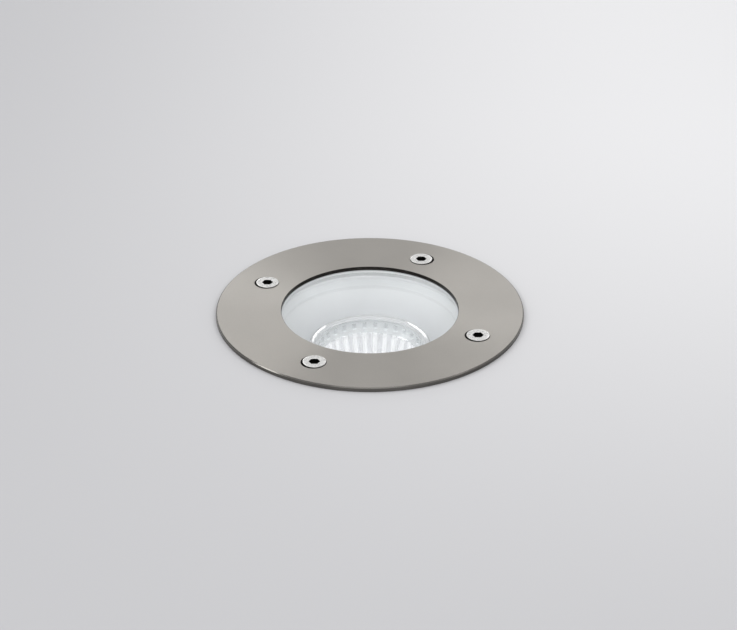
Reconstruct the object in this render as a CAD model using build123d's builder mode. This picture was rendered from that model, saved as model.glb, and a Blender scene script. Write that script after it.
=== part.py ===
from build123d import *
from math import cos, pi, radians, sin, sqrt, tan
import os

# In-ground well light with a twist-lock reflector lamp.
# Millimetres. The origin is on the light's axis at ground level, where the trim
# ring's underside lies on the paving. +Z points up, out of the ground.

# Trim ring; its window drives every radius outside it
WINDOW_RADIUS = 36.0
WINDOW_EDGE = 0.15  # broken edge of the window
RING_THICK = 2.0
RING_EDGE = 0.35  # bevel on the outer edges
RING_OVERHANG = 4.5  # how far the ring reaches past the ground sleeve
RECESS_DEPTH = 0.4  # shallow recess that centres the ring on the body
LAND_WIDTH = 3.5  # outer land that lies on the ground

# Cover screws, countersunk with a hexagon socket
SCREW_COUNT = 4
SCREW_MARGIN = 4.7  # wall of the gasket's pocket to the screws' axes
SCREW_ANGLE = 62.8  # degrees from +X to the first screw
SCREW_SHANK = 2.45
SCREW_LENGTH = 16.0
SINK_RADIUS = 5.15  # countersink's mouth in the ring
HEAD_RADIUS = 4.55
HEAD_PROUD = 0.25
HEAD_EDGE = 0.15
SOCKET_FLATS = 3.0
SOCKET_DEPTH = 1.9
SCREW_PLAY = 0.1  # radial play of shanks and heads in their holes

# Glass and its channel gasket
GLASS_SEAT = 5.0  # how far the glass reaches under the ring
GLASS_THICK = 8.0
GLASS_EDGE = 0.6
GASKET_PLAY = 0.1
GASKET_WALL = 2.1
TOP_LIP_THICK = 0.5
TOP_LIP_SHOWS = 0.6  # how far the lip stands inside the ring's window
LOWER_LIP_THICK = 1.2
LOWER_LIP_WIDTH = 3.0

# White reflector funnel
FUNNEL_WALL = 1.2
FUNNEL_FLANGE_THICK = 1.0
FUNNEL_STEP = 2.6  # how far the funnel's mouth lies inside the edge of the glass
FUNNEL_BOW = 0.9  # how far the wall bows out from a straight cone
FUNNEL_SKIRT = 4.0  # straight collar round the lamp
FUNNEL_PLAY = 0.3

# Reflector lamp
LAMP_RADIUS = 24.85
LAMP_TOP = -19.4
LAMP_LENGTH = 47.0  # front face to base face
LAMP_LIFT = 1.2  # how far the lamp's face stands above the funnel's throat
LAMP_PLAY = 0.35  # radial gap between the lamp and the funnel
LID_THICK = 2.6
LID_EDGE = 0.7
LUG_COUNT = 30
LUG_CIRCLE = 22.5
LUG_WIDTH = 1.5
LUG_DEPTH = 1.2
LUG_HEIGHT = 0.9
RIM_HEIGHT = 3.0  # straight outer band of the pressed body
SHOULDER_WIDTH = 3.2
SHOULDER_DEPTH = 3.0
MIRROR_RADIUS = 20.2
MIRROR_BAND = 2.1  # plain silvered band above the flutes
MIRROR_DEPTH = 27.0  # height of the fluted part
MIRROR_FOOT = 6.6  # inside radius at the bottom of the bowl
FLUTE_COUNT = 30
FLUTE_DEPTH = 0.8
FLUTE_LEVELS = 6
LAMP_NECK = 10.5
NECK_LENGTH = 5.0
NECK_BORE = 4.3
CAPSULE_RADIUS = 4.9
CAPSULE_HEIGHT = 15.0
CAPSULE_LIFT = 2.5  # stem that shows under the bulb
CAPSULE_PLAY = 0.15
BASE_WALL = 2.2
BASE_COLLAR = 4.4  # length of the collar round the neck
BASE_FOOT = 9.8

# Twist-lock pins
PIN_CIRCLE = 5.0
PIN_SHANK = 1.6
PIN_NECK = 3.4  # length between the base and the pin's head
PIN_HEAD = 2.45
PIN_HEAD_LENGTH = 3.2
PIN_ROOT = 2.0  # length inside the base
PIN_ROOT_PLAY = 0.05
TWIST = 22.0  # degrees from locked to released

# Lamp holder
HOLDER_RADIUS = 13.0
HOLDER_HEIGHT = 17.2
HOLDER_EDGE = 0.8
SLOT_PLAY = 0.4  # gap between the pins and the holder, on every side
CONTACT_THICK = 0.5
CONTACT_WIDTH = 3.6
CONTACT_GAP = 0.3
CONTACT_TAIL = 6.2
TAIL_WIDTH = 1.7
WIRE_HOLE = 1.3
HOLDER_SCREW_OFFSET = 9.0
M3_SHANK = 1.45
M3_HEAD = 2.75
M3_HEAD_HEIGHT = 1.8
HOLDER_SINK_DEPTH = 3.0
HOLDER_SCREW_LENGTH = 18.0

# Holder bracket
BRACKET_THICK = 1.2
BRACKET_WIDTH = 14.0
BRACKET_REACH = 17.5  # axis to the middle of a leg
BRACKET_BEND = 2.2
FOOT_LENGTH = 11.0
FOOT_HOLE_REACH = 24.0
BRACKET_SLOT_LENGTH = 16.0
BRACKET_SLOT_WIDTH = 6.0
M4_SHANK = 1.95
M4_HEAD = 3.6
M4_HEAD_HEIGHT = 2.4
M4_LENGTH = 4.8  # under the head

# Housing
FLANGE_MARGIN = 7.1  # the screws' axes to the flange's edge
FLANGE_BOTTOM = -7.0
POCKET_PLAY = 0.2  # gap round the gasket
SEAT_WIDTH = 3.4  # seat under the gasket and the funnel's flange
CUP_FOOT = 36.0  # inside radius at the floor
CUP_WALL = 3.0
CUP_FLOOR = -106.0
FLOOR_THICK = 4.0
FLOOR_ROUND = 3.0
POCKET_WALL_BOTTOM = -13.5
SHOULDER_BOTTOM = -20.0
BOSS_RADIUS = 5.0
BOSS_BOTTOM = -18.0
BOSS_HOLE_DEPTH = 15.5
FIN_COUNT = 24
FIN_THICK = 2.0
FIN_GAP = 5.1  # the fins' edges to the sleeve
FIN_LIFT = 18.0  # the cup's floor to the fins' feet
FIN_TAPER = 12.0  # height over which the fin runs out at its foot
PAD_HEIGHT = 2.0
PAD_RADIUS = 5.2
PAD_HOLE_DEPTH = 4.4

# Terminal block
BLOCK_Y = -20.0
POLE_COUNT = 3
POLE_PITCH = 8.0
BLOCK_LENGTH = 25.0
BLOCK_DEPTH = 13.0
BLOCK_HEIGHT = 13.0
BLOCK_EDGE = 0.8
POLE_HEIGHT = 6.5  # from the block's foot to the wire axis
INSERT_SIDE = 5.0
INSERT_LENGTH = 12.0
INSERT_BORE = 1.5
INSERT_PLAY = 0.1
CLAMP_OFFSET = 3.4  # clamp screws each side of the block's middle
CLAMP_SHANK = 1.15
CLAMP_HEAD = 1.6
CLAMP_HEAD_HEIGHT = 2.6
CLAMP_SINK = 1.0  # how far the heads lie below the block's top
DRIVER_SLOT = 0.5
DRIVER_DEPTH = 0.7
EAR_REACH = 15.6  # middle of the block to the ear's hole
EAR_THICK = 3.0
EAR_WIDTH = 7.0
BLOCK_SCREW_LENGTH = 5.8

# Internal leads
LEAD_RADIUS = 0.9
LEAD_DROP = 9.5  # straight drop below a contact's tail
LEAD_RISE = 1.5  # a lead's height over the poles where it turns level
LEAD_TURN_Y = -4.5
LEAD_MOUTH_Y = -11.0  # where a lead is in line with its pole
EARTH_X = -15.0
EARTH_Y = 15.0
TAG_RADIUS = 4.2
TAG_THICK = 0.8
BARREL_RADIUS = 1.5
BARREL_BORE = 1.0
BARREL_LENGTH = 4.0
BARREL_START = 4.8  # earth screw's axis to the barrel

# Cable gland
GLAND_Y = 21.0
GLAND_THREAD = 7.9
GLAND_HOLE_PLAY = 0.15
GLAND_FLATS = 19.0
GLAND_FLANGE = 6.0
GLAND_TAIL = 8.0
GLAND_BORE = 5.2
SEAT_BORE = 6.2
SEAL_BORE = 4.6
SEAL_LENGTH = 7.5
SEAL_PLAY = 0.1
LOCKNUT_THICK = 5.0
THREAD_SHOWS = 1.0  # thread that stands out of the locknut
WASHER_THICK = 1.2
WASHER_RADIUS = 9.4
NUT_LENGTH = 13.0
NUT_BORE = 5.1
NUT_DOME = 4.0  # how much narrower the nut's nose is than its flats

# Ground sleeve
SLEEVE_PLAY = 0.4  # radial gap round the housing's flange
SLEEVE_WALL = 2.4
DRAIN_SPACE = 9.5  # the gland's nut to the foot of the sleeve
LEDGE_WIDTH = 2.0
LEDGE_THICK = 3.0
GUSSET_COUNT = 8
GUSSET_HEIGHT = 18.0
GUSSET_THICK = 2.0
FOOT_RING_WIDTH = 6.6
FOOT_RING_THICK = 2.5
NOTCH_WIDTH = 20.0
NOTCH_HEIGHT = 26.0

# Heights and radii that follow from the sizes above
glass_radius = WINDOW_RADIUS + GLASS_SEAT
channel_radius = glass_radius + GASKET_PLAY
gasket_radius = channel_radius + GASKET_WALL
pocket_radius = gasket_radius + POCKET_PLAY
screw_circle = pocket_radius + SCREW_MARGIN
flange_radius = screw_circle + FLANGE_MARGIN
sleeve_bore = flange_radius + SLEEVE_PLAY
sleeve_radius = sleeve_bore + SLEEVE_WALL
ring_radius = sleeve_radius + RING_OVERHANG
recess_radius = ring_radius - LAND_WIDTH
glass_top = RECESS_DEPTH - TOP_LIP_THICK
glass_bottom = glass_top - GLASS_THICK
gasket_bottom = glass_bottom - LOWER_LIP_THICK
seat_height = gasket_bottom - FUNNEL_FLANGE_THICK
funnel_mouth = glass_radius - FUNNEL_STEP
throat_radius = LAMP_RADIUS + LAMP_PLAY
throat_height = LAMP_TOP - LAMP_LIFT
lid_bottom = LAMP_TOP - LID_THICK
rim_top = lid_bottom - LUG_HEIGHT
mirror_top = rim_top - SHOULDER_DEPTH
flute_top = mirror_top - MIRROR_BAND
bowl_bottom = flute_top - MIRROR_DEPTH
neck_bottom = bowl_bottom - NECK_LENGTH
base_face = LAMP_TOP - LAMP_LENGTH
pin_head_top = base_face - PIN_NECK
pin_bottom = pin_head_top - PIN_HEAD_LENGTH
holder_top = base_face - SLOT_PLAY
holder_bottom = holder_top - HOLDER_HEIGHT
chamber_top = pin_head_top + SLOT_PLAY
contact_top = pin_bottom - CONTACT_GAP
chamber_bottom = contact_top - CONTACT_THICK
tail_bottom = chamber_bottom - CONTACT_TAIL
holder_sink = holder_top - HOLDER_SINK_DEPTH
pad_top = CUP_FLOOR + PAD_HEIGHT
housing_bottom = CUP_FLOOR - FLOOR_THICK
pole_axis = CUP_FLOOR + POLE_HEIGHT
block_top = CUP_FLOOR + BLOCK_HEIGHT
clamp_top = block_top - CLAMP_SINK
washer_bottom = housing_bottom - WASHER_THICK
gland_flange_bottom = washer_bottom - GLAND_FLANGE
gland_tail_bottom = gland_flange_bottom - GLAND_TAIL
nut_top = gland_flange_bottom - CONTACT_GAP
nut_bottom = nut_top - NUT_LENGTH
sleeve_bottom = nut_bottom - DRAIN_SPACE
gland_hole = GLAND_THREAD + GLAND_HOLE_PLAY

LOW = (Align.CENTER, Align.CENTER, Align.MIN)
HIGH = (Align.CENTER, Align.CENTER, Align.MAX)


def star(radius, depth, count):
    """Closed outline of a bowl section whose wall has count hollow flutes."""
    corners = []
    for i in range(2 * count):
        reach = radius + depth * (i % 2)
        corners.append((reach * cos(pi * i / count), reach * sin(pi * i / count)))
    return corners


def radial_planes(count, first):
    """Upright planes through the axis, evenly turned, with local X pointing outwards."""
    planes = []
    for i in range(count):
        turn = radians(first + 360 * i / count)
        outward = (cos(turn), sin(turn), 0)
        planes.append(Plane((0, 0, 0), x_dir=outward, z_dir=(sin(turn), -cos(turn), 0)))
    return planes


def bowl_radius(level):
    """Inside radius of the parabolic bowl, for level 0 at its foot to 1 at its mouth."""
    return MIRROR_FOOT + (MIRROR_RADIUS - MIRROR_FOOT) * sqrt(level)


def pin_path(start):
    """Arc that a lamp pin's axis follows from its locked angle to its released one."""
    return CenterArc((0, 0), PIN_CIRCLE, start, TWIST, mode=Mode.PRIVATE)


def bend_radii(points, share=0.45):
    """The largest even bends for a limp lead through these points."""
    radii = []
    for a, b, c in zip(points, points[1:], points[2:]):
        before, after = Vector(*b) - Vector(*a), Vector(*c) - Vector(*b)
        turn = before.get_angle(after) * pi / 180
        radii.append(share * min(before.length, after.length) / tan(turn / 2))
    return radii


# --- Cover ---------------------------------------------------------------------

with BuildPart() as trim_ring:
    with BuildSketch():
        Circle(ring_radius)
        Circle(WINDOW_RADIUS, mode=Mode.SUBTRACT)
    extrude(amount=RING_THICK)
    outer_edges = trim_ring.edges().filter_by(GeomType.CIRCLE).group_by(SortBy.RADIUS)[-1]
    chamfer(outer_edges, length=RING_EDGE)
    with BuildSketch():
        Circle(recess_radius)
    extrude(amount=RECESS_DEPTH, mode=Mode.SUBTRACT)
    window_edges = trim_ring.edges().filter_by(GeomType.CIRCLE).group_by(SortBy.RADIUS)[0]
    chamfer(window_edges.sort_by(Axis.Z)[-1], length=WINDOW_EDGE)
    with Locations((0, 0, RING_THICK)):
        with PolarLocations(screw_circle, SCREW_COUNT, start_angle=SCREW_ANGLE):
            CounterSinkHole(SCREW_SHANK + SCREW_PLAY, SINK_RADIUS, counter_sink_angle=90)

# The head's cone lies a constant play inside the countersink
head_top = RING_THICK + HEAD_PROUD
cone_top = RING_THICK - (SINK_RADIUS - SCREW_PLAY - HEAD_RADIUS)
cone_height = HEAD_RADIUS - SCREW_SHANK

with BuildPart() as cover_screws:
    with PolarLocations(screw_circle, SCREW_COUNT, start_angle=SCREW_ANGLE):
        with Locations((0, 0, cone_top)):
            Cylinder(HEAD_RADIUS, head_top - cone_top, align=LOW)
            Cone(SCREW_SHANK, HEAD_RADIUS, cone_height, align=HIGH)
        with Locations((0, 0, head_top - SCREW_LENGTH)):
            Cylinder(SCREW_SHANK, SCREW_LENGTH - (head_top - cone_top), align=LOW)
    chamfer(cover_screws.edges().group_by(Axis.Z)[-1], length=HEAD_EDGE)
    with BuildSketch(Plane.XY.offset(head_top)):
        with PolarLocations(screw_circle, SCREW_COUNT, start_angle=SCREW_ANGLE, rotate=False):
            RegularPolygon(SOCKET_FLATS / 2, 6, major_radius=False)
    extrude(amount=-SOCKET_DEPTH, mode=Mode.SUBTRACT)

with BuildPart() as glass_lens:
    with BuildSketch(Plane.XY.offset(glass_bottom)):
        Circle(glass_radius)
    extrude(amount=GLASS_THICK)
    chamfer(glass_lens.edges(), length=GLASS_EDGE)

lip_inner = WINDOW_RADIUS - TOP_LIP_SHOWS
lower_lip_inner = glass_radius - LOWER_LIP_WIDTH

with BuildPart() as lens_gasket:
    with BuildSketch(Plane.XZ):
        with BuildLine():
            Polyline(
                (lip_inner, RECESS_DEPTH),
                (gasket_radius, RECESS_DEPTH),
                (gasket_radius, gasket_bottom),
                (lower_lip_inner, gasket_bottom),
                (lower_lip_inner, glass_bottom),
                (channel_radius, glass_bottom),
                (channel_radius, glass_top),
                (lip_inner, glass_top),
                close=True,
            )
        make_face()
    revolve(axis=Axis.Z)

# --- White funnel between the glass and the lamp -------------------------------

funnel_flange = gasket_radius - FUNNEL_PLAY
throat_foot = throat_height - FUNNEL_SKIRT

with BuildPart() as white_reflector:
    with BuildSketch(Plane.XZ):
        with BuildLine():
            Polyline(
                (throat_radius, throat_height),
                (throat_radius, throat_foot),
                (throat_radius + FUNNEL_WALL, throat_foot),
                (throat_radius + FUNNEL_WALL, throat_height - FUNNEL_WALL / 2),
            )
            SagittaArc(
                (throat_radius + FUNNEL_WALL, throat_height - FUNNEL_WALL / 2),
                (funnel_mouth + FUNNEL_WALL, seat_height),
                -FUNNEL_BOW,
            )
            Polyline(
                (funnel_mouth + FUNNEL_WALL, seat_height),
                (funnel_flange, seat_height),
                (funnel_flange, gasket_bottom),
                (funnel_mouth, gasket_bottom),
            )
            SagittaArc((funnel_mouth, gasket_bottom), (throat_radius, throat_height), FUNNEL_BOW)
        make_face()
    revolve(axis=Axis.Z)

# --- Reflector lamp --------------------------------------------------------------

with BuildPart() as lamp_front_glass:
    with BuildSketch(Plane.XY.offset(lid_bottom)):
        Circle(LAMP_RADIUS)
    extrude(amount=LID_THICK)
    fillet(lamp_front_glass.edges().group_by(Axis.Z)[-1], radius=LID_EDGE)
    with BuildSketch(Plane.XY.offset(lid_bottom)):
        with PolarLocations(LUG_CIRCLE, LUG_COUNT):
            Rectangle(LUG_DEPTH, LUG_WIDTH)
    extrude(amount=-LUG_HEIGHT)

with BuildPart() as lamp_reflector:
    with BuildSketch(Plane.XZ):
        with BuildLine():
            Polyline(
                (LAMP_NECK, bowl_bottom),
                (LAMP_NECK, neck_bottom),
                (0, neck_bottom),
                (0, rim_top),
                (LAMP_RADIUS, rim_top),
                (LAMP_RADIUS, rim_top - RIM_HEIGHT),
            )
            TangentArc(
                (LAMP_RADIUS, rim_top - RIM_HEIGHT),
                (LAMP_NECK, bowl_bottom),
                tangent=(0, -1),
            )
        make_face()
    revolve(axis=Axis.Z)
    with Locations((0, 0, rim_top)):
        Cone(
            MIRROR_RADIUS,
            LAMP_RADIUS - SHOULDER_WIDTH,
            SHOULDER_DEPTH,
            align=HIGH,
            mode=Mode.SUBTRACT,
        )
    with Locations((0, 0, mirror_top)):
        Cylinder(MIRROR_RADIUS, MIRROR_BAND, align=HIGH, mode=Mode.SUBTRACT)
    for step in range(FLUTE_LEVELS):
        level = (step / (FLUTE_LEVELS - 1)) ** 1.5
        section = bowl_radius(level)
        with BuildSketch(Plane.XY.offset(bowl_bottom + MIRROR_DEPTH * level)):
            Polygon(
                *star(section, FLUTE_DEPTH * section / MIRROR_RADIUS, FLUTE_COUNT),
                align=None,
            )
    loft(ruled=True, mode=Mode.SUBTRACT)
    with Locations((0, 0, bowl_bottom)):
        Cylinder(NECK_BORE, NECK_LENGTH, align=HIGH, mode=Mode.SUBTRACT)

bulb_bottom = bowl_bottom + CAPSULE_LIFT
bulb_top = bulb_bottom + CAPSULE_HEIGHT
stem_radius = NECK_BORE - CAPSULE_PLAY

with BuildPart() as lamp_capsule:
    with BuildSketch(Plane.XZ):
        with BuildLine():
            Polyline(
                (0, bulb_top + CAPSULE_RADIUS),
                (0, neck_bottom),
                (stem_radius, neck_bottom),
                (stem_radius, bulb_bottom),
                (CAPSULE_RADIUS, bulb_bottom + CAPSULE_PLAY),
                (CAPSULE_RADIUS, bulb_top),
            )
            CenterArc((0, bulb_top), CAPSULE_RADIUS, 0, 90)
        make_face()
    revolve(axis=Axis.Z)

collar_top = neck_bottom + BASE_COLLAR
collar_bore = LAMP_NECK + CAPSULE_PLAY

with BuildPart() as lamp_base:
    with BuildSketch(Plane.XZ):
        with BuildLine():
            Polyline(
                (0, neck_bottom),
                (0, base_face),
                (BASE_FOOT, base_face),
                (collar_bore + BASE_WALL, neck_bottom),
                (collar_bore + BASE_WALL, collar_top),
                (collar_bore, collar_top),
                (collar_bore, neck_bottom),
                close=True,
            )
        make_face()
    revolve(axis=Axis.Z)
    with Locations((0, 0, base_face)):
        with PolarLocations(PIN_CIRCLE, 2, start_angle=-TWIST / 2):
            Cylinder(PIN_SHANK + PIN_ROOT_PLAY, PIN_ROOT, align=LOW, mode=Mode.SUBTRACT)

with BuildPart() as lamp_pins:
    with PolarLocations(PIN_CIRCLE, 2, start_angle=-TWIST / 2):
        with Locations((0, 0, pin_head_top)):
            Cylinder(PIN_SHANK, PIN_NECK + PIN_ROOT, align=LOW)
            Cylinder(PIN_HEAD, PIN_HEAD_LENGTH, align=HIGH)
    chamfer(lamp_pins.edges().group_by(Axis.Z)[0], length=HOLDER_EDGE)

# --- Lamp holder on its bracket ----------------------------------------------------

entry_radius = PIN_HEAD + SLOT_PLAY
slot_radius = PIN_SHANK + SLOT_PLAY
lock_angle = -TWIST / 2
tail_spots = [(PIN_CIRCLE * side, 0) for side in (-1, 1)]
screw_spots = [(0, HOLDER_SCREW_OFFSET * side) for side in (-1, 1)]

with BuildPart() as lamp_holder:
    with BuildSketch(Plane.XY.offset(holder_top)):
        Circle(HOLDER_RADIUS)
    extrude(amount=-HOLDER_HEIGHT)
    chamfer(lamp_holder.edges().group_by(Axis.Z)[-1], length=HOLDER_EDGE)
    # Keyholes: a round entry at the released angle and a narrow arc back to the locked one
    for start in (lock_angle, lock_angle + 180):
        with BuildSketch(Plane.XY.offset(holder_top)):
            SlotArc(pin_path(start), 2 * slot_radius)
            with PolarLocations(PIN_CIRCLE, 1, start_angle=start + TWIST):
                Circle(entry_radius)
        extrude(amount=chamber_top - holder_top, mode=Mode.SUBTRACT)
        with BuildSketch(Plane.XY.offset(chamber_top)):
            SlotArc(pin_path(start), 2 * entry_radius)
        extrude(amount=chamber_bottom - chamber_top, mode=Mode.SUBTRACT)
    with BuildSketch(Plane.XY.offset(chamber_bottom)):
        with Locations(*tail_spots):
            Circle(WIRE_HOLE)
    extrude(amount=holder_bottom - chamber_bottom, mode=Mode.SUBTRACT)
    with BuildSketch(Plane.XY.offset(holder_bottom)):
        with Locations(*screw_spots):
            Circle(M3_SHANK + SCREW_PLAY)
    extrude(amount=HOLDER_HEIGHT, mode=Mode.SUBTRACT)
    with BuildSketch(Plane.XY.offset(holder_top)):
        with Locations(*screw_spots):
            Circle(M3_HEAD + SLOT_PLAY)
    extrude(amount=-HOLDER_SINK_DEPTH, mode=Mode.SUBTRACT)

with BuildPart() as holder_contacts:
    with BuildSketch(Plane.XY.offset(chamber_bottom)):
        with Locations(*tail_spots):
            Rectangle(CONTACT_WIDTH, CONTACT_WIDTH)
    extrude(amount=CONTACT_THICK)
    with BuildSketch(Plane.XY.offset(chamber_bottom)):
        with Locations(*tail_spots):
            Rectangle(CONTACT_THICK, TAIL_WIDTH)
    extrude(amount=-CONTACT_TAIL)

with BuildPart() as holder_screws:
    with Locations(*[(x, y, holder_sink) for x, y in screw_spots]):
        Cylinder(M3_HEAD, M3_HEAD_HEIGHT, align=LOW)
        Cylinder(M3_SHANK, HOLDER_SCREW_LENGTH, align=HIGH)
    with BuildSketch(Plane.XY.offset(holder_sink + M3_HEAD_HEIGHT)):
        with Locations(*screw_spots):
            Rectangle(2 * M3_HEAD, DRIVER_SLOT)
    extrude(amount=-DRIVER_DEPTH, mode=Mode.SUBTRACT)

foot_spots = [(FOOT_HOLE_REACH * side, 0) for side in (-1, 1)]
leg_end = BRACKET_REACH + FOOT_LENGTH

with BuildPart() as holder_bracket:
    with BuildSketch(Plane.XZ):
        with BuildLine() as strip:
            FilletPolyline(
                (-leg_end, pad_top),
                (-BRACKET_REACH, pad_top),
                (-BRACKET_REACH, holder_bottom - BRACKET_THICK),
                (BRACKET_REACH, holder_bottom - BRACKET_THICK),
                (BRACKET_REACH, pad_top),
                (leg_end, pad_top),
                radius=BRACKET_BEND,
            )
            offset(amount=BRACKET_THICK, side=Side.LEFT)
        make_face()
    extrude(amount=BRACKET_WIDTH / 2, both=True)
    with BuildSketch(Plane.XY.offset(holder_bottom)):
        Circle(HOLDER_RADIUS)
    extrude(amount=-BRACKET_THICK)
    with BuildSketch(Plane.XY.offset(holder_bottom)):
        SlotOverall(BRACKET_SLOT_LENGTH, BRACKET_SLOT_WIDTH)
        with Locations(*screw_spots):
            Circle(M3_SHANK + SCREW_PLAY)
    extrude(amount=-BRACKET_THICK, mode=Mode.SUBTRACT)
    with BuildSketch(Plane.XY.offset(pad_top)):
        with Locations(*foot_spots):
            Circle(M4_SHANK + SCREW_PLAY)
    extrude(amount=BRACKET_THICK, mode=Mode.SUBTRACT)

foot_top = pad_top + BRACKET_THICK

with BuildPart() as bracket_screws:
    with Locations(*[(x, y, foot_top) for x, y in foot_spots]):
        Cylinder(M4_HEAD, M4_HEAD_HEIGHT, align=LOW)
        Cylinder(M4_SHANK, M4_LENGTH, align=HIGH)
    with BuildSketch(Plane.XY.offset(foot_top + M4_HEAD_HEIGHT)):
        with Locations(*foot_spots):
            Rectangle(2 * M4_HEAD, DRIVER_SLOT)
    extrude(amount=-DRIVER_DEPTH, mode=Mode.SUBTRACT)

# --- Housing -----------------------------------------------------------------------

pocket_wall = pocket_radius + CUP_WALL
cup_top = pocket_radius - SEAT_WIDTH
cup_outer_top = cup_top + CUP_WALL
cup_outer_foot = CUP_FOOT + CUP_WALL
fin_root = CUP_FOOT + CUP_WALL / 2
fin_radius = sleeve_bore - FIN_GAP
fin_bottom = CUP_FLOOR + FIN_LIFT
ear_spots = [(EAR_REACH * side, BLOCK_Y) for side in (-1, 1)]

with BuildPart() as lamp_housing:
    with BuildSketch(Plane.XZ):
        with BuildLine():
            Polyline(
                (0, housing_bottom),
                (cup_outer_foot, housing_bottom),
                (cup_outer_top, SHOULDER_BOTTOM),
                (pocket_wall, POCKET_WALL_BOTTOM),
                (pocket_wall, FLANGE_BOTTOM),
                (flange_radius, FLANGE_BOTTOM),
                (flange_radius, RECESS_DEPTH),
                (0, RECESS_DEPTH),
                close=True,
            )
        make_face()
    revolve(axis=Axis.Z)
    foot_edge = lamp_housing.edges().filter_by(GeomType.CIRCLE).group_by(Axis.Z)[0]
    fillet(foot_edge, radius=FLOOR_ROUND)
    with BuildSketch(Plane.XY.offset(FLANGE_BOTTOM)):
        with PolarLocations(screw_circle, SCREW_COUNT, start_angle=SCREW_ANGLE):
            Circle(BOSS_RADIUS)
    extrude(amount=BOSS_BOTTOM - FLANGE_BOTTOM)
    with BuildSketch(*radial_planes(FIN_COUNT, SCREW_ANGLE + 180 / FIN_COUNT)):
        with BuildLine():
            Polyline(
                (fin_root, FLANGE_BOTTOM),
                (fin_radius, FLANGE_BOTTOM),
                (fin_radius, fin_bottom + FIN_TAPER),
                (fin_root, fin_bottom),
                close=True,
            )
        make_face()
    extrude(amount=FIN_THICK / 2, both=True)
    # The cup's inside: gasket pocket, seat and tapered well
    with BuildSketch(Plane.XZ):
        with BuildLine():
            Polyline(
                (0, CUP_FLOOR),
                (CUP_FOOT, CUP_FLOOR),
                (cup_top, seat_height),
                (pocket_radius, seat_height),
                (pocket_radius, RECESS_DEPTH),
                (0, RECESS_DEPTH),
                close=True,
            )
        make_face()
    revolve(axis=Axis.Z, mode=Mode.SUBTRACT)
    with BuildSketch(Plane.XY.offset(CUP_FLOOR)):
        with Locations(*foot_spots, (EARTH_X, EARTH_Y)):
            Circle(PAD_RADIUS)
    extrude(amount=PAD_HEIGHT)
    with BuildSketch(Plane.XY.offset(pad_top)):
        with Locations(*foot_spots, (EARTH_X, EARTH_Y)):
            Circle(M4_SHANK + SCREW_PLAY)
    extrude(amount=-PAD_HOLE_DEPTH, mode=Mode.SUBTRACT)
    with BuildSketch(Plane.XY.offset(CUP_FLOOR)):
        with Locations(*ear_spots):
            Circle(M3_SHANK + SCREW_PLAY)
    extrude(amount=EAR_THICK - BLOCK_SCREW_LENGTH - SCREW_PLAY, mode=Mode.SUBTRACT)
    with BuildSketch(Plane.XY.offset(CUP_FLOOR)):
        with Locations((0, GLAND_Y)):
            Circle(gland_hole)
    extrude(amount=-FLOOR_THICK, mode=Mode.SUBTRACT)
    with Locations((0, 0, RECESS_DEPTH)):
        with PolarLocations(screw_circle, SCREW_COUNT, start_angle=SCREW_ANGLE):
            CounterSinkHole(
                SCREW_SHANK + SCREW_PLAY,
                SINK_RADIUS - (RING_THICK - RECESS_DEPTH),
                depth=BOSS_HOLE_DEPTH,
                counter_sink_angle=90,
            )

# --- Terminal block ------------------------------------------------------------------

pole_spots = [(POLE_PITCH * (i - (POLE_COUNT - 1) / 2), BLOCK_Y) for i in range(POLE_COUNT)]
clamp_spots = [(x, y + CLAMP_OFFSET * side) for x, y in pole_spots for side in (-1, 1)]
cell_side = INSERT_SIDE + 2 * INSERT_PLAY

with BuildPart() as terminal_block:
    with BuildSketch(Plane.XY.offset(CUP_FLOOR)):
        with Locations((0, BLOCK_Y)):
            RectangleRounded(BLOCK_LENGTH, BLOCK_DEPTH, BLOCK_EDGE)
    extrude(amount=BLOCK_HEIGHT)
    with BuildSketch(Plane.XY.offset(CUP_FLOOR)):
        with Locations((0, BLOCK_Y)):
            SlotCenterToCenter(2 * EAR_REACH, EAR_WIDTH)
        with Locations(*ear_spots):
            Circle(M3_SHANK + SCREW_PLAY, mode=Mode.SUBTRACT)
    extrude(amount=EAR_THICK)
    with BuildSketch(Plane.XZ.offset(-(BLOCK_Y + BLOCK_DEPTH / 2))):
        with Locations(*[(x, pole_axis) for x, _ in pole_spots]):
            Rectangle(cell_side, cell_side)
    extrude(amount=BLOCK_DEPTH, mode=Mode.SUBTRACT)
    with BuildSketch(Plane.XY.offset(block_top)):
        with Locations(*clamp_spots):
            Circle(CLAMP_HEAD + INSERT_PLAY)
    extrude(amount=pole_axis - block_top, mode=Mode.SUBTRACT)

with BuildPart() as terminal_inserts:
    with Locations(*[(x, y, pole_axis) for x, y in pole_spots]):
        Box(INSERT_SIDE, INSERT_LENGTH, INSERT_SIDE)
        Cylinder(INSERT_BORE, INSERT_LENGTH, rotation=(90, 0, 0), mode=Mode.SUBTRACT)
    with BuildSketch(Plane.XY.offset(pole_axis)):
        with Locations(*clamp_spots):
            Circle(CLAMP_SHANK + INSERT_PLAY)
    extrude(amount=INSERT_SIDE, mode=Mode.SUBTRACT)

insert_top = pole_axis + INSERT_SIDE / 2
clamp_bottom = pole_axis + LEAD_RADIUS + INSERT_PLAY

with BuildPart() as terminal_screws:
    with BuildSketch(Plane.XY.offset(clamp_top)):
        with Locations(*clamp_spots):
            Circle(CLAMP_HEAD)
    extrude(amount=-CLAMP_HEAD_HEIGHT)
    with BuildSketch(Plane.XY.offset(clamp_top)):
        with Locations(*clamp_spots):
            Circle(CLAMP_SHANK)
    extrude(amount=clamp_bottom - clamp_top)
    with BuildSketch(Plane.XY.offset(clamp_top)):
        with Locations(*clamp_spots):
            Rectangle(2 * CLAMP_HEAD, DRIVER_SLOT)
    extrude(amount=-DRIVER_DEPTH, mode=Mode.SUBTRACT)

ear_top = CUP_FLOOR + EAR_THICK

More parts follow.
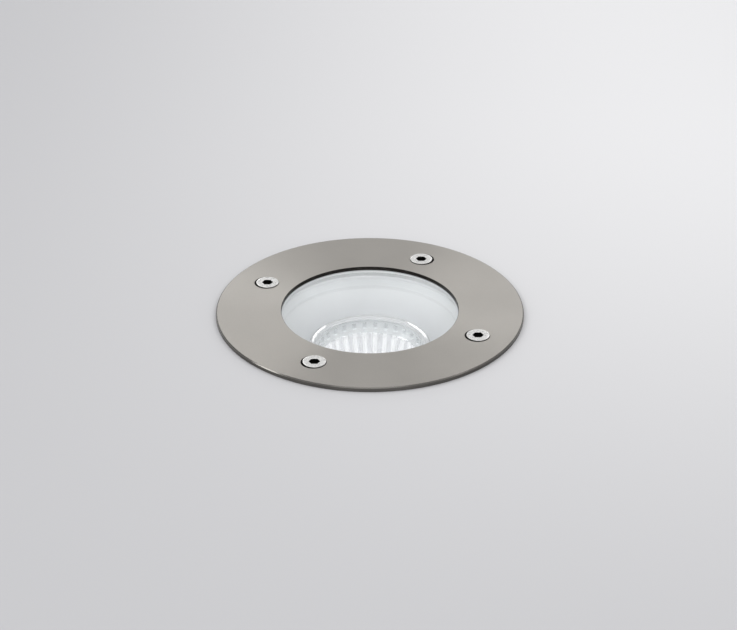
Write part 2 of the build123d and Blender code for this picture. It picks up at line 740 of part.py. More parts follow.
with BuildPart() as block_screws:
    with Locations(*[(x, y, ear_top) for x, y in ear_spots]):
        Cylinder(M3_HEAD, M3_HEAD_HEIGHT, align=LOW)
        Cylinder(M3_SHANK, BLOCK_SCREW_LENGTH, align=HIGH)
    with BuildSketch(Plane.XY.offset(ear_top + M3_HEAD_HEIGHT)):
        with Locations(*ear_spots):
            Rectangle(2 * M3_HEAD, DRIVER_SLOT)
    extrude(amount=-DRIVER_DEPTH, mode=Mode.SUBTRACT)

# --- Internal leads and the earth terminal ---------------------------------------------

lead_end = BLOCK_Y + CLAMP_OFFSET - CLAMP_SHANK
left_pole, middle_pole, right_pole = [x for x, _ in pole_spots]
barrel_axis = pad_top + BARREL_RADIUS
tag_turn = Vector(EARTH_X, EARTH_Y, 0) - Vector(middle_pole, BLOCK_Y + BLOCK_DEPTH, 0)
toward_block = -tag_turn.normalized()
barrel_mouth = BARREL_START + BARREL_LENGTH


def holder_lead_points(side, pole_x):
    """Route of a lead from a contact's tail to its pole; side is -1 or 1."""
    x = PIN_CIRCLE * side
    return [
        (x, 0, tail_bottom),
        (x, 0, tail_bottom - LEAD_DROP),
        ((x + pole_x) / 2, LEAD_TURN_Y, pole_axis + LEAD_RISE),
        (pole_x, LEAD_MOUTH_Y, pole_axis),
        (pole_x, lead_end, pole_axis),
    ]


def earth_point(reach, height):
    """Point at this distance from the earth screw's axis, towards the terminal block."""
    return (EARTH_X + toward_block.X * reach, EARTH_Y + toward_block.Y * reach, height)


live_points = holder_lead_points(-1, left_pole)
neutral_points = holder_lead_points(1, right_pole)
earth_points = [
    (middle_pole, lead_end, pole_axis),
    (middle_pole, LEAD_MOUTH_Y, pole_axis),
    (middle_pole - LEAD_RISE, LEAD_TURN_Y, pole_axis),
    earth_point(barrel_mouth + BARREL_LENGTH, barrel_axis),
    earth_point(BARREL_START, barrel_axis),
]

with BuildPart() as live_lead:
    with BuildLine() as live_route:
        FilletPolyline(*live_points, radius=bend_radii(live_points))
    with BuildSketch(Plane(live_route.wire() ^ 0)):
        Circle(LEAD_RADIUS)
    sweep()

with BuildPart() as neutral_lead:
    with BuildLine() as neutral_route:
        FilletPolyline(*neutral_points, radius=bend_radii(neutral_points))
    with BuildSketch(Plane(neutral_route.wire() ^ 0)):
        Circle(LEAD_RADIUS)
    sweep()

with BuildPart() as earth_lead:
    with BuildLine() as earth_route:
        FilletPolyline(*earth_points, radius=bend_radii(earth_points))
    with BuildSketch(Plane(earth_route.wire() ^ 0)):
        Circle(LEAD_RADIUS)
    sweep()

leads = {
    "live": (live_lead, live_route, live_points),
    "neutral": (neutral_lead, neutral_route, neutral_points),
    "earth": (earth_lead, earth_route, earth_points),
}
for name, (lead, route, points) in leads.items():
    length = route.wire().length
    share = lead.part.volume / (pi * LEAD_RADIUS**2 * length)
    radii = [round(radius, 1) for radius in bend_radii(points)]
    print(f"{name} lead: {length:.1f} mm, bend radii {radii} mm, volume / (section x length) {share:.3f}")

barrel_plane = Plane(earth_point(BARREL_START, barrel_axis), z_dir=toward_block)
tag_plane = Plane((EARTH_X, EARTH_Y, pad_top), x_dir=toward_block, z_dir=(0, 0, 1))

with BuildPart() as earth_tag:
    with BuildSketch(tag_plane):
        Circle(TAG_RADIUS)
        with Locations((BARREL_START / 2, 0)):
            Rectangle(BARREL_START, 2 * BARREL_RADIUS)
        Circle(M4_SHANK + SCREW_PLAY, mode=Mode.SUBTRACT)
    extrude(amount=TAG_THICK)
    with BuildSketch(barrel_plane):
        Circle(BARREL_RADIUS)
        Circle(BARREL_BORE, mode=Mode.SUBTRACT)
    extrude(amount=BARREL_LENGTH)

tag_top = pad_top + TAG_THICK

with BuildPart() as earth_screw:
    with Locations((EARTH_X, EARTH_Y, tag_top)):
        Cylinder(M4_HEAD, M4_HEAD_HEIGHT, align=LOW)
        Cylinder(M4_SHANK, M4_LENGTH, align=HIGH)
    with BuildSketch(Plane.XY.offset(tag_top + M4_HEAD_HEIGHT)):
        with Locations((EARTH_X, EARTH_Y)):
            Rectangle(2 * M4_HEAD, DRIVER_SLOT)
    extrude(amount=-DRIVER_DEPTH, mode=Mode.SUBTRACT)

# --- Cable gland -------------------------------------------------------------------------

locknut_top = CUP_FLOOR + LOCKNUT_THICK

with BuildPart() as gland_locknut:
    with BuildSketch(Plane.XY.offset(CUP_FLOOR)):
        with Locations((0, GLAND_Y)):
            RegularPolygon(GLAND_FLATS / 2, 6, major_radius=False)
            Circle(GLAND_THREAD + SEAL_PLAY, mode=Mode.SUBTRACT)
    extrude(amount=LOCKNUT_THICK)

with BuildPart() as gland_washer:
    with BuildSketch(Plane.XY.offset(washer_bottom)):
        with Locations((0, GLAND_Y)):
            Circle(WASHER_RADIUS)
            Circle(gland_hole, mode=Mode.SUBTRACT)
    extrude(amount=WASHER_THICK)

with BuildPart() as gland_body:
    with BuildSketch(Plane.XY.offset(gland_tail_bottom)):
        with Locations((0, GLAND_Y)):
            Circle(GLAND_THREAD)
    extrude(amount=locknut_top + THREAD_SHOWS - gland_tail_bottom)
    with BuildSketch(Plane.XY.offset(gland_flange_bottom)):
        with Locations((0, GLAND_Y)):
            RegularPolygon(GLAND_FLATS / 2, 6, major_radius=False)
    extrude(amount=GLAND_FLANGE)
    with BuildSketch(Plane.XY.offset(gland_tail_bottom)):
        with Locations((0, GLAND_Y)):
            Circle(GLAND_BORE)
    extrude(amount=locknut_top + THREAD_SHOWS - gland_tail_bottom, mode=Mode.SUBTRACT)
    with BuildSketch(Plane.XY.offset(gland_tail_bottom)):
        with Locations((0, GLAND_Y)):
            Circle(SEAT_BORE)
    extrude(amount=SEAL_LENGTH, mode=Mode.SUBTRACT)

with BuildPart() as gland_seal:
    with BuildSketch(Plane.XY.offset(gland_tail_bottom)):
        with Locations((0, GLAND_Y)):
            Circle(SEAT_BORE - SEAL_PLAY)
            Circle(SEAL_BORE, mode=Mode.SUBTRACT)
    extrude(amount=SEAL_LENGTH)

with BuildPart() as gland_nut:
    with BuildSketch(Plane.XY.offset(nut_top)):
        with Locations((0, GLAND_Y)):
            RegularPolygon(GLAND_FLATS / 2, 6, major_radius=False)
    extrude(amount=-NUT_LENGTH)
    with Locations((0, GLAND_Y, nut_bottom)):
        Cone(GLAND_FLATS / 2 - NUT_DOME / 2, GLAND_FLATS, GLAND_FLATS, align=LOW, mode=Mode.INTERSECT)
    with BuildSketch(Plane.XY.offset(nut_top)):
        with Locations((0, GLAND_Y)):
            Circle(GLAND_THREAD + SEAL_PLAY)
    extrude(amount=gland_tail_bottom - nut_top, mode=Mode.SUBTRACT)
    with BuildSketch(Plane.XY.offset(nut_bottom)):
        with Locations((0, GLAND_Y)):
            Circle(NUT_BORE)
    extrude(amount=NUT_LENGTH, mode=Mode.SUBTRACT)

# --- Ground sleeve -------------------------------------------------------------------------

ledge_bore = sleeve_bore - LEDGE_WIDTH
ledge_foot = FLANGE_BOTTOM - LEDGE_THICK
notch_radius = NOTCH_WIDTH / 2
notch_crown = sleeve_bottom + NOTCH_HEIGHT - notch_radius

with BuildPart() as ground_sleeve:
    with BuildSketch(Plane.XZ):
        with BuildLine():
            Polyline(
                (sleeve_radius, 0),
                (sleeve_radius, sleeve_bottom),
                (sleeve_radius - FOOT_RING_WIDTH, sleeve_bottom),
                (sleeve_radius - FOOT_RING_WIDTH, sleeve_bottom + FOOT_RING_THICK),
                (sleeve_bore, sleeve_bottom + FOOT_RING_THICK),
                (sleeve_bore, ledge_foot - LEDGE_WIDTH),
                (ledge_bore, ledge_foot),
                (ledge_bore, FLANGE_BOTTOM),
                (sleeve_bore, FLANGE_BOTTOM),
                (sleeve_bore, 0),
                close=True,
            )
        make_face()
    revolve(axis=Axis.Z)
    with BuildSketch(*radial_planes(GUSSET_COUNT, SCREW_ANGLE + 180 / GUSSET_COUNT)):
        with BuildLine():
            Polyline(
                (sleeve_bore + SLEEVE_WALL / 2, ledge_foot),
                (ledge_bore, ledge_foot),
                (sleeve_bore, ledge_foot - GUSSET_HEIGHT),
                (sleeve_bore + SLEEVE_WALL / 2, ledge_foot - GUSSET_HEIGHT),
                close=True,
            )
        make_face()
    extrude(amount=GUSSET_THICK / 2, both=True)
    with BuildSketch(Plane.XZ):
        with Locations((0, notch_crown)):
            Circle(notch_radius)
            Rectangle(NOTCH_WIDTH, NOTCH_HEIGHT, align=(Align.CENTER, Align.MAX))
    extrude(amount=ring_radius, both=True, mode=Mode.SUBTRACT)

# --- Files ---------------------------------------------------------------------------------

trim_ring.part.label = "trim_ring"
cover_screws.part.label = "cover_screws"
glass_lens.part.label = "glass_lens"
lens_gasket.part.label = "lens_gasket"
white_reflector.part.label = "white_reflector"
lamp_front_glass.part.label = "lamp_front_glass"
lamp_reflector.part.label = "lamp_reflector"
lamp_capsule.part.label = "lamp_capsule"
lamp_base.part.label = "lamp_base"
lamp_pins.part.label = "lamp_pins"
lamp_holder.part.label = "lamp_holder"
holder_contacts.part.label = "holder_contacts"
holder_screws.part.label = "holder_screws"
holder_bracket.part.label = "holder_bracket"
bracket_screws.part.label = "bracket_screws"
lamp_housing.part.label = "lamp_housing"
terminal_block.part.label = "terminal_block"
terminal_inserts.part.label = "terminal_inserts"
terminal_screws.part.label = "terminal_screws"
block_screws.part.label = "block_screws"
live_lead.part.label = "live_lead"
neutral_lead.part.label = "neutral_lead"
earth_lead.part.label = "earth_lead"
earth_tag.part.label = "earth_tag"
earth_screw.part.label = "earth_screw"
gland_locknut.part.label = "gland_locknut"
gland_washer.part.label = "gland_washer"
gland_body.part.label = "gland_body"
gland_seal.part.label = "gland_seal"
gland_nut.part.label = "gland_nut"
ground_sleeve.part.label = "ground_sleeve"

os.makedirs("parts", exist_ok=True)
export_step(trim_ring.part, "parts/trim_ring.step")
export_step(cover_screws.part, "parts/cover_screws.step")
export_step(glass_lens.part, "parts/glass_lens.step")
export_step(lens_gasket.part, "parts/lens_gasket.step")
export_step(white_reflector.part, "parts/white_reflector.step")
export_step(lamp_front_glass.part, "parts/lamp_front_glass.step")
export_step(lamp_reflector.part, "parts/lamp_reflector.step")
export_step(lamp_capsule.part, "parts/lamp_capsule.step")
export_step(lamp_base.part, "parts/lamp_base.step")
export_step(lamp_pins.part, "parts/lamp_pins.step")
export_step(lamp_holder.part, "parts/lamp_holder.step")
export_step(holder_contacts.part, "parts/holder_contacts.step")
export_step(holder_screws.part, "parts/holder_screws.step")
export_step(holder_bracket.part, "parts/holder_bracket.step")
export_step(bracket_screws.part, "parts/bracket_screws.step")
export_step(lamp_housing.part, "parts/lamp_housing.step")
export_step(terminal_block.part, "parts/terminal_block.step")
export_step(terminal_inserts.part, "parts/terminal_inserts.step")
export_step(terminal_screws.part, "parts/terminal_screws.step")
export_step(block_screws.part, "parts/block_screws.step")
export_step(live_lead.part, "parts/live_lead.step")
export_step(neutral_lead.part, "parts/neutral_lead.step")
export_step(earth_lead.part, "parts/earth_lead.step")
export_step(earth_tag.part, "parts/earth_tag.step")
export_step(earth_screw.part, "parts/earth_screw.step")
export_step(gland_locknut.part, "parts/gland_locknut.step")
export_step(gland_washer.part, "parts/gland_washer.step")
export_step(gland_body.part, "parts/gland_body.step")
export_step(gland_seal.part, "parts/gland_seal.step")
export_step(gland_nut.part, "parts/gland_nut.step")
export_step(ground_sleeve.part, "parts/ground_sleeve.step")
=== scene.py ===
"""Looks of a round in-ground light: its steel ring, glass, funnel, reflector lamp and buried body.

Everything is in metres in the frame of the solids: the origin is on the light's axis at ground
level, and +Z is up.
"""

import logging
import math
from dataclasses import dataclass
from enum import Enum
from typing import Sequence

import bmesh
import bpy
import numpy as np
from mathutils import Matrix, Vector


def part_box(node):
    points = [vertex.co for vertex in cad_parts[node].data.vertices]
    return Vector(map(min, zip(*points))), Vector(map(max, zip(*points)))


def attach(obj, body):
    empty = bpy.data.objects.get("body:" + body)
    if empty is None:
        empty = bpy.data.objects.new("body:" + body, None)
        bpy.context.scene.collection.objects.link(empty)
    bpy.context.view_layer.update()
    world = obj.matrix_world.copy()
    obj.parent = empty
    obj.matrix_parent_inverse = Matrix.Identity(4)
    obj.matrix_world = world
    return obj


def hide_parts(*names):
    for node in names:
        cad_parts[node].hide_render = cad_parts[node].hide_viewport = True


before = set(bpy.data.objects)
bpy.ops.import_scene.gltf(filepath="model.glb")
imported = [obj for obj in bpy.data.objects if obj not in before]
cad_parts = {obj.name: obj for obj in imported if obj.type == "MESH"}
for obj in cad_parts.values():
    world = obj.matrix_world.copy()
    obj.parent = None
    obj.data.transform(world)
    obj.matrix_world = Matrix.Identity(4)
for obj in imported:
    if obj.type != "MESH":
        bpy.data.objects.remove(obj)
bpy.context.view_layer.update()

TURN = 2 * math.pi

# The four cover screws stand on a circle round the axis, a quarter turn apart.
SCREW_CIRCLE = 0.0481
SCREW_ANGLE = 62.8

# The two values of a noise between which one tone turns into the other.
CLOUDS = (0.3, 0.7)
WIDE_CLOUDS = (0.2, 0.8)
STEEP_CLOUDS = (0.35, 0.65)
PALE_CLOUDS = (0.35, 0.7)

# How far one finish takes to turn into the next where a piece has two.
SHARP_STEP = 0.0001
SOFT_STEP = 0.0002

# The angle in degrees above which an edge stays sharp, on plain and on fine pieces.
CREASE = 38.0
FINE_CREASE = 30.0

log = logging.getLogger("well_light")

Pair = tuple[float, float]
Triple = tuple[float, float, float]
Colour = Triple
Socket = bpy.types.NodeSocket


# --- Node graphs -------------------------------------------------------------------


class Space(Enum):
    """What patterns read, by the name of the coordinates that give it."""

    POINT = "Object"
    DIRECTION = "Generated"


class Nodes:
    """A node tree, with short calls for the nodes that the finishes and the room share."""

    def __init__(self, tree: bpy.types.NodeTree, space: Space) -> None:
        """Keeps the tree and what its patterns read.

        Args:
            tree: the nodes of a material or of the room.
            space: the point on an object, or the direction in the room.
        """
        self.tree = tree
        self.space = space
        self._place: Socket | None = None

    def node(self, kind: str, **settings: object) -> bpy.types.Node:
        """Adds a node.

        Args:
            kind: Blender's name of the node type.
            settings: the node's own properties.

        Returns:
            The new node.
        """
        made = self.tree.nodes.new(kind)
        for key, value in settings.items():
            setattr(made, key, value)
        return made

    def feed(self, socket: Socket, source: object) -> None:
        """Links a socket to source, or gives it source as its own value.

        Args:
            socket: the input.
            source: an output, a number, a text or a colour.
        """
        if isinstance(source, Socket):
            self.tree.links.new(source, socket)
        elif isinstance(source, tuple) and len(source) == 3 and socket.type == "RGBA":
            socket.default_value = (*source, 1.0)
        else:
            socket.default_value = source

    def place(self) -> Socket:
        """What the patterns read.

        Returns:
            The point in metres, or the direction.
        """
        if self._place is None:
            self._place = self.node("ShaderNodeTexCoord").outputs[self.space.value]
        return self._place

    def split(self, vector: Socket | None = None) -> tuple[Socket, Socket, Socket]:
        """Takes a vector apart.

        Args:
            vector: the vector, the point by default.

        Returns:
            Its X, Y and Z.
        """
        made = self.node("ShaderNodeSeparateXYZ")
        self.feed(made.inputs[0], vector or self.place())
        return made.outputs[0], made.outputs[1], made.outputs[2]

    def mapped(self, scale: Triple = (1.0, 1.0, 1.0), turn: float = 0.0) -> Socket:
        """The point, scaled along each axis and turned about Z.

        Args:
            scale: the factors along X, Y and Z.
            turn: the angle in degrees.

        Returns:
            The mapped vector.
        """
        mapping = self.node("ShaderNodeMapping")
        mapping.inputs["Scale"].default_value = scale
        mapping.inputs["Rotation"].default_value = (0.0, 0.0, math.radians(turn))
        self.feed(mapping.inputs["Vector"], self.place())
        return mapping.outputs["Vector"]

    def reach(self) -> Socket:
        """How far the point lies from the light's axis.

        Returns:
            The length of (x, y).
        """
        made = self.node("ShaderNodeVectorMath", operation="LENGTH")
        self.feed(made.inputs[0], self.mapped((1.0, 1.0, 0.0)))
        return made.outputs["Value"]

    def noise(self, scale: float, detail: float = 2.0, vector: Socket | None = None) -> Socket:
        """Soft cloudy noise from 0 to 1.

        Args:
            scale: features per metre.
            detail: how many finer layers it has.
            vector: where it is read, the point by default.

        Returns:
            The noise value.
        """
        made = self.node("ShaderNodeTexNoise")
        made.inputs["Scale"].default_value = scale
        made.inputs["Detail"].default_value = detail
        self.feed(made.inputs["Vector"], vector or self.place())
        return made.outputs["Fac"]

    def grains(self, scale: float) -> Socket:
        """Distance to the nearest of many scattered grains.

        Args:
            scale: grains per metre.

        Returns:
            The distance, 0 at a grain's middle.
        """
        made = self.node("ShaderNodeTexVoronoi")
        made.inputs["Scale"].default_value = scale
        self.feed(made.inputs["Vector"], self.place())
        return made.outputs["Distance"]

    def sum(
        self, operation: str, first: object, second: object = 0.0, clamp: bool = False
    ) -> Socket:
        """One step of arithmetic.

        Args:
            operation: Blender's name of the operation.
            first: the first number or socket.
            second: the second number or socket.
            clamp: keeps the result from 0 to 1.

        Returns:
            The result.
        """
        made = self.node("ShaderNodeMath", operation=operation, use_clamp=clamp)
        self.feed(made.inputs[0], first)
        self.feed(made.inputs[1], second)
        return made.outputs[0]

    def add(self, first: object, second: object) -> Socket:
        """The sum of two numbers or sockets."""
        return self.sum("ADD", first, second)

    def less(self, first: object, second: object) -> Socket:
        """The first number or socket less the second."""
        return self.sum("SUBTRACT", first, second)

    def times(self, first: object, second: object) -> Socket:
        """The product of two numbers or sockets."""
        return self.sum("MULTIPLY", first, second)

    def spread(
        self, value: Socket, start: float, end: float, low: float = 0.0, high: float = 1.0
    ) -> Socket:
        """Smooth step of a value.

        Args:
            value: what is stepped.
            start: the value that gives low.
            end: the value that gives high.
            low: the result at start.
            high: the result at end.

        Returns:
            The stepped value.
        """
        made = self.node("ShaderNodeMapRange", interpolation_type="SMOOTHSTEP")
        keys = ("From Min", "From Max", "To Min", "To Max")
        for key, number in zip(keys, (start, end, low, high)):
            made.inputs[key].default_value = number
        self.feed(made.inputs["Value"], value)
        return made.outputs["Result"]

    def blend(self, share: object, first: object, second: object) -> Socket:
        """Mixes two colours.

        Args:
            share: how much of the second there is.
            first: a colour or socket.
            second: a colour or socket.

        Returns:
            The mixed colour.
        """
        made = self.node("ShaderNodeMix", data_type="RGBA")
        self.feed(made.inputs["Factor"], share)
        self.feed(made.inputs[6], first)
        self.feed(made.inputs[7], second)
        return made.outputs[2]

    def layered(self, share: Socket, under: Socket, over: Socket) -> Socket:
        """Mixes two shaders.

        Args:
            share: how much of the second shows.
            under: the first shader.
            over: the second shader.

        Returns:
            The mixed shader.
        """
        made = self.node("ShaderNodeMixShader")
        for socket, source in zip(made.inputs, (share, under, over)):
            self.feed(socket, source)
        return made.outputs[0]

    def relief(self, height: Socket, depth: float, strength: float) -> Socket:
        """Turns a height into a bent normal.

        Args:
            height: the height, from 0 to 1.
            depth: what 1 is in metres.
            strength: the share of the bend.

        Returns:
            The normal.
        """
        made = self.node("ShaderNodeBump")
        made.inputs["Strength"].default_value = strength
        made.inputs["Distance"].default_value = depth
        self.feed(made.inputs["Height"], height)
        return made.outputs["Normal"]

    def clear(self, tint: Colour) -> Socket:
        """A shader that light passes straight through.

        Args:
            tint: the colour that the light takes on.

        Returns:
            The shader.
        """
        made = self.node("ShaderNodeBsdfTransparent")
        self.feed(made.inputs["Color"], tint)
        return made.outputs[0]

    def back_side(self) -> Socket:
        """1 where a face is seen from behind, and else 0."""
        return self.node("ShaderNodeNewGeometry").outputs["Backfacing"]


class Graph(Nodes):
    """A material's nodes round one Principled shader."""

    def __init__(self, name: str) -> None:
        """Starts a material with its shader on its output.

        Args:
            name: the material's name.
        """
        self.material = bpy.data.materials.new(name)
        self.material.use_nodes = True
        super().__init__(self.material.node_tree, Space.POINT)
        self.shader = self.tree.nodes["Principled BSDF"]
        self.plain = self.shader.outputs[0]

    def surface(self, **values: object) -> None:
        """Sets the Principled shader's inputs; an underscore stands for a space in a name."""
        for key, value in values.items():
            self.feed(self.shader.inputs[key.replace("_", " ")], value)

    def shown(self, shader: Socket) -> None:
        """Puts a shader on the output."""
        self.feed(self.tree.nodes["Material Output"].inputs["Surface"], shader)

    def lit_through(self, shader: Socket, clear: Socket) -> None:
        """Shows a shader that lamps shine straight through: shadow rays meet the clear one instead.

        Args:
            shader: what the eye sees.
            clear: what a lamp's light meets.
        """
        path = self.node("ShaderNodeLightPath")
        self.shown(self.layered(path.outputs["Is Shadow Ray"], shader, clear))


# --- Finishes ----------------------------------------------------------------------


class Finish:
    """A surface treatment that can be made into a material.

    In every finish, rough is the lowest and highest roughness, and bump is the relief's depth in
    metres and its strength. Scales are features per metre.
    """

    def material(self, name: str) -> bpy.types.Material:
        """Builds the material.

        Args:
            name: the material's name.

        Returns:
            The material.
        """
        g = Graph(name)
        self.paint(g)
        return g.material

    def paint(self, g: Graph) -> None:
        """Sets up this finish in a material's nodes."""
        raise NotImplementedError


@dataclass(frozen=True)
class SatinSteel(Finish):
    """Stainless plate with a fine turned grain, and painted shade on its outer wall, its window
    wall and in its countersinks.
    """

    tone: Colour = (0.470, 0.449, 0.417)
    dark_tone: Colour = (0.423, 0.404, 0.374)
    # Painted shade: near-black tones for the window wall and the countersinks round the screw
    # heads.
    recess_shade_tone: Colour = (0.024, 0.022, 0.020)
    recess_shade_grain_tone: Colour = (0.0336, 0.0308, 0.0280)
    # Painted shade: a dark tone over most of the ring's outer wall below the bevel.
    wall_shade_tone: Colour = (0.115, 0.110, 0.102)
    wall_shade_share: Pair = (0.9, 1.0)
    bevel_tone: Colour = (0.17, 0.163, 0.152)
    bevel_gloss: float = 0.25
    window_radius: float = 0.036
    outer_radius: float = 0.0625
    plate_top: float = 0.002
    bevel: float = 0.00035
    bevel_fade: float = 1.3
    sink_radius: float = 0.00515
    sink_depths: Pair = (0.00001, 0.00008)
    grain: float = 2600.0
    grain_share: float = 0.75
    clouds: float = 55.0
    rough: Pair = (0.37, 0.48)
    turning: float = 0.8
    quarter: float = 0.25
    bump: Pair = (0.000012, 0.35)

    def near_screw(self, g: Graph) -> Socket:
        """Distance to the nearest of four axes, folded into one.

        It is hypot(max(|x|, |y|) - circle, min(|x|, |y|)) once the screws stand along X and Y.

        Args:
            g: the material's nodes.

        Returns:
            The distance.
        """
        x, y = (g.sum("ABSOLUTE", side) for side in g.split(g.mapped(turn=-SCREW_ANGLE))[:2])
        along = g.less(g.sum("MAXIMUM", x, y), SCREW_CIRCLE)
        across = g.sum("MINIMUM", x, y)
        return g.sum("SQRT", g.add(g.times(along, along), g.times(across, across)))

    def paint(self, g: Graph) -> None:
        """Grain in colour, roughness and relief; painted shade on the outer wall, the window wall
        and the countersinks; a glossy bevel.

        Args:
            g: the material's nodes.
        """
        fine, cloud = g.noise(self.grain, 3.0), g.noise(self.clouds)
        reach, height = g.reach(), g.split()[2]
        mottled = g.add(g.times(fine, self.grain_share), g.times(cloud, 1 - self.grain_share))
        plate = g.blend(g.spread(mottled, *CLOUDS), self.dark_tone, self.tone)
        window, edge = self.window_radius, self.outer_radius - self.bevel
        in_window = g.spread(reach, window + SOFT_STEP, window + SOFT_STEP / 2)
        outside = g.spread(reach, edge - SOFT_STEP, edge)
        bevel_foot = self.plate_top - self.bevel_fade * self.bevel
        on_bevel = g.times(outside, g.spread(height, bevel_foot, self.plate_top - self.bevel))
        below_bevel = g.sum("SUBTRACT", outside, on_bevel, clamp=True)
        below_top = g.spread(height, *(self.plate_top - depth for depth in self.sink_depths))
        near = g.spread(self.near_screw(g), self.sink_radius + SOFT_STEP, self.sink_radius)
        # cut marks the window wall and the countersinks, where shade is painted in near-black.
        cut = g.sum("MAXIMUM", in_window, g.times(below_top, near))
        steel = g.blend(on_bevel, plate, self.bevel_tone)
        # Painted shade on the outer wall, broken up a little by clouds.
        shaded_wall = g.times(below_bevel, g.spread(cloud, *CLOUDS, *self.wall_shade_share))
        edged = g.blend(shaded_wall, steel, self.wall_shade_tone)
        rough = g.spread(fine, *WIDE_CLOUDS, *self.rough)
        g.surface(
            Base_Color=g.blend(cut, edged, g.blend(fine, self.recess_shade_tone, self.recess_shade_grain_tone)),
            Metallic=1.0,
            Roughness=g.less(rough, g.times(on_bevel, self.bevel_gloss)),
            Anisotropic=self.turning,
            Anisotropic_Rotation=self.quarter,
            Tangent=g.node("ShaderNodeTangent", direction_type="RADIAL", axis="Z").outputs[0],
            Normal=g.relief(fine, *self.bump),
        )


@dataclass(frozen=True)
class BrightSteel(Finish):
    """Machined or plated fastener metal with faint turning marks, and painted shade below one
    height.
    """

    tone: Colour = (0.84, 0.835, 0.815)
    dark_tone: Colour = (0.76, 0.755, 0.735)
    clouds: float = 700.0
    marks: Triple = (900.0, 900.0, 5200.0)
    rough: Pair = (0.23, 0.38)
    bump: Pair = (0.00001, 0.4)
    # Painted shade: a near-black tone below one height, in sockets and on head sides.
    low_shade_tone: Colour = (0.055, 0.054, 0.050)
    low_shade_height: float = -1.0

    def paint(self, g: Graph) -> None:
        """Turning marks across Z, small clouds of tone, and painted shade below one height.

        Args:
            g: the material's nodes.
        """
        marks = g.noise(1.0, vector=g.mapped(self.marks))
        low_shaded = g.spread(g.split()[2], self.low_shade_height, self.low_shade_height - SHARP_STEP)
        clean = g.blend(g.spread(g.noise(self.clouds, 3.0), *CLOUDS), self.dark_tone, self.tone)
        g.surface(
            Base_Color=g.blend(low_shaded, clean, self.low_shade_tone),
            Metallic=1.0,
            Roughness=g.spread(marks, *WIDE_CLOUDS, *self.rough),
            Normal=g.relief(marks, *self.bump),
        )


@dataclass(frozen=True)
class GlowingWire(Finish):
    """Tungsten wire that glows softly, a little more in some turns than in others."""

    tone: Colour = (0.45, 0.44, 0.43)
    dark_tone: Colour = (0.315, 0.308, 0.301)
    clouds: float = 900.0
    rough: Pair = (0.35, 0.5)
    glow_tone: Colour = (1.0, 0.97, 0.93)
    glow: Pair = (0.765, 0.9)

    def paint(self, g: Graph) -> None:
        """Dark metal whose glow varies in clouds.

        Args:
            g: the material's nodes.
        """
        cloud = g.noise(self.clouds)
        g.surface(
            Base_Color=g.blend(cloud, self.tone, self.dark_tone),
            Metallic=1.0,
            Roughness=g.spread(cloud, *CLOUDS, *self.rough),
            Emission_Color=self.glow_tone,
            Emission_Strength=g.spread(cloud, *CLOUDS, *self.glow),
        )


@dataclass(frozen=True)
class ClearGlass(Finish):
    """Clear lamp or plate glass that bends what lies behind it, and lets the lamps light it."""

    tint: Colour = (0.97, 0.98, 0.985)
    ground_tone: Colour = (0.93, 0.95, 0.95)
    ground_radius: float = 1.0
    ground_rough: float = 0.5
    index: float = 1.47
    dust: float = 0.02
    dust_clouds: float = 800.0
    wave: float = 260.0
    bump: Pair = (0.00001, 0.5)

    def paint(self, g: Graph) -> None:
        """A mould's faint wave, dust in the roughness, and a white ground edge.

        Args:
            g: the material's nodes.
        """
        ground = g.spread(g.reach(), self.ground_radius, self.ground_radius + SOFT_STEP)
        dust = g.spread(g.noise(self.dust_clouds), *CLOUDS, 0.0, self.dust)
        g.surface(
            Base_Color=g.blend(ground, self.tint, self.ground_tone),
            Roughness=g.add(dust, g.times(ground, self.ground_rough)),
            IOR=self.index,
            Transmission_Weight=g.less(1.0, ground),
            Normal=g.relief(g.noise(self.wave), *self.bump),
        )
        g.lit_through(g.plain, g.clear(self.tint))


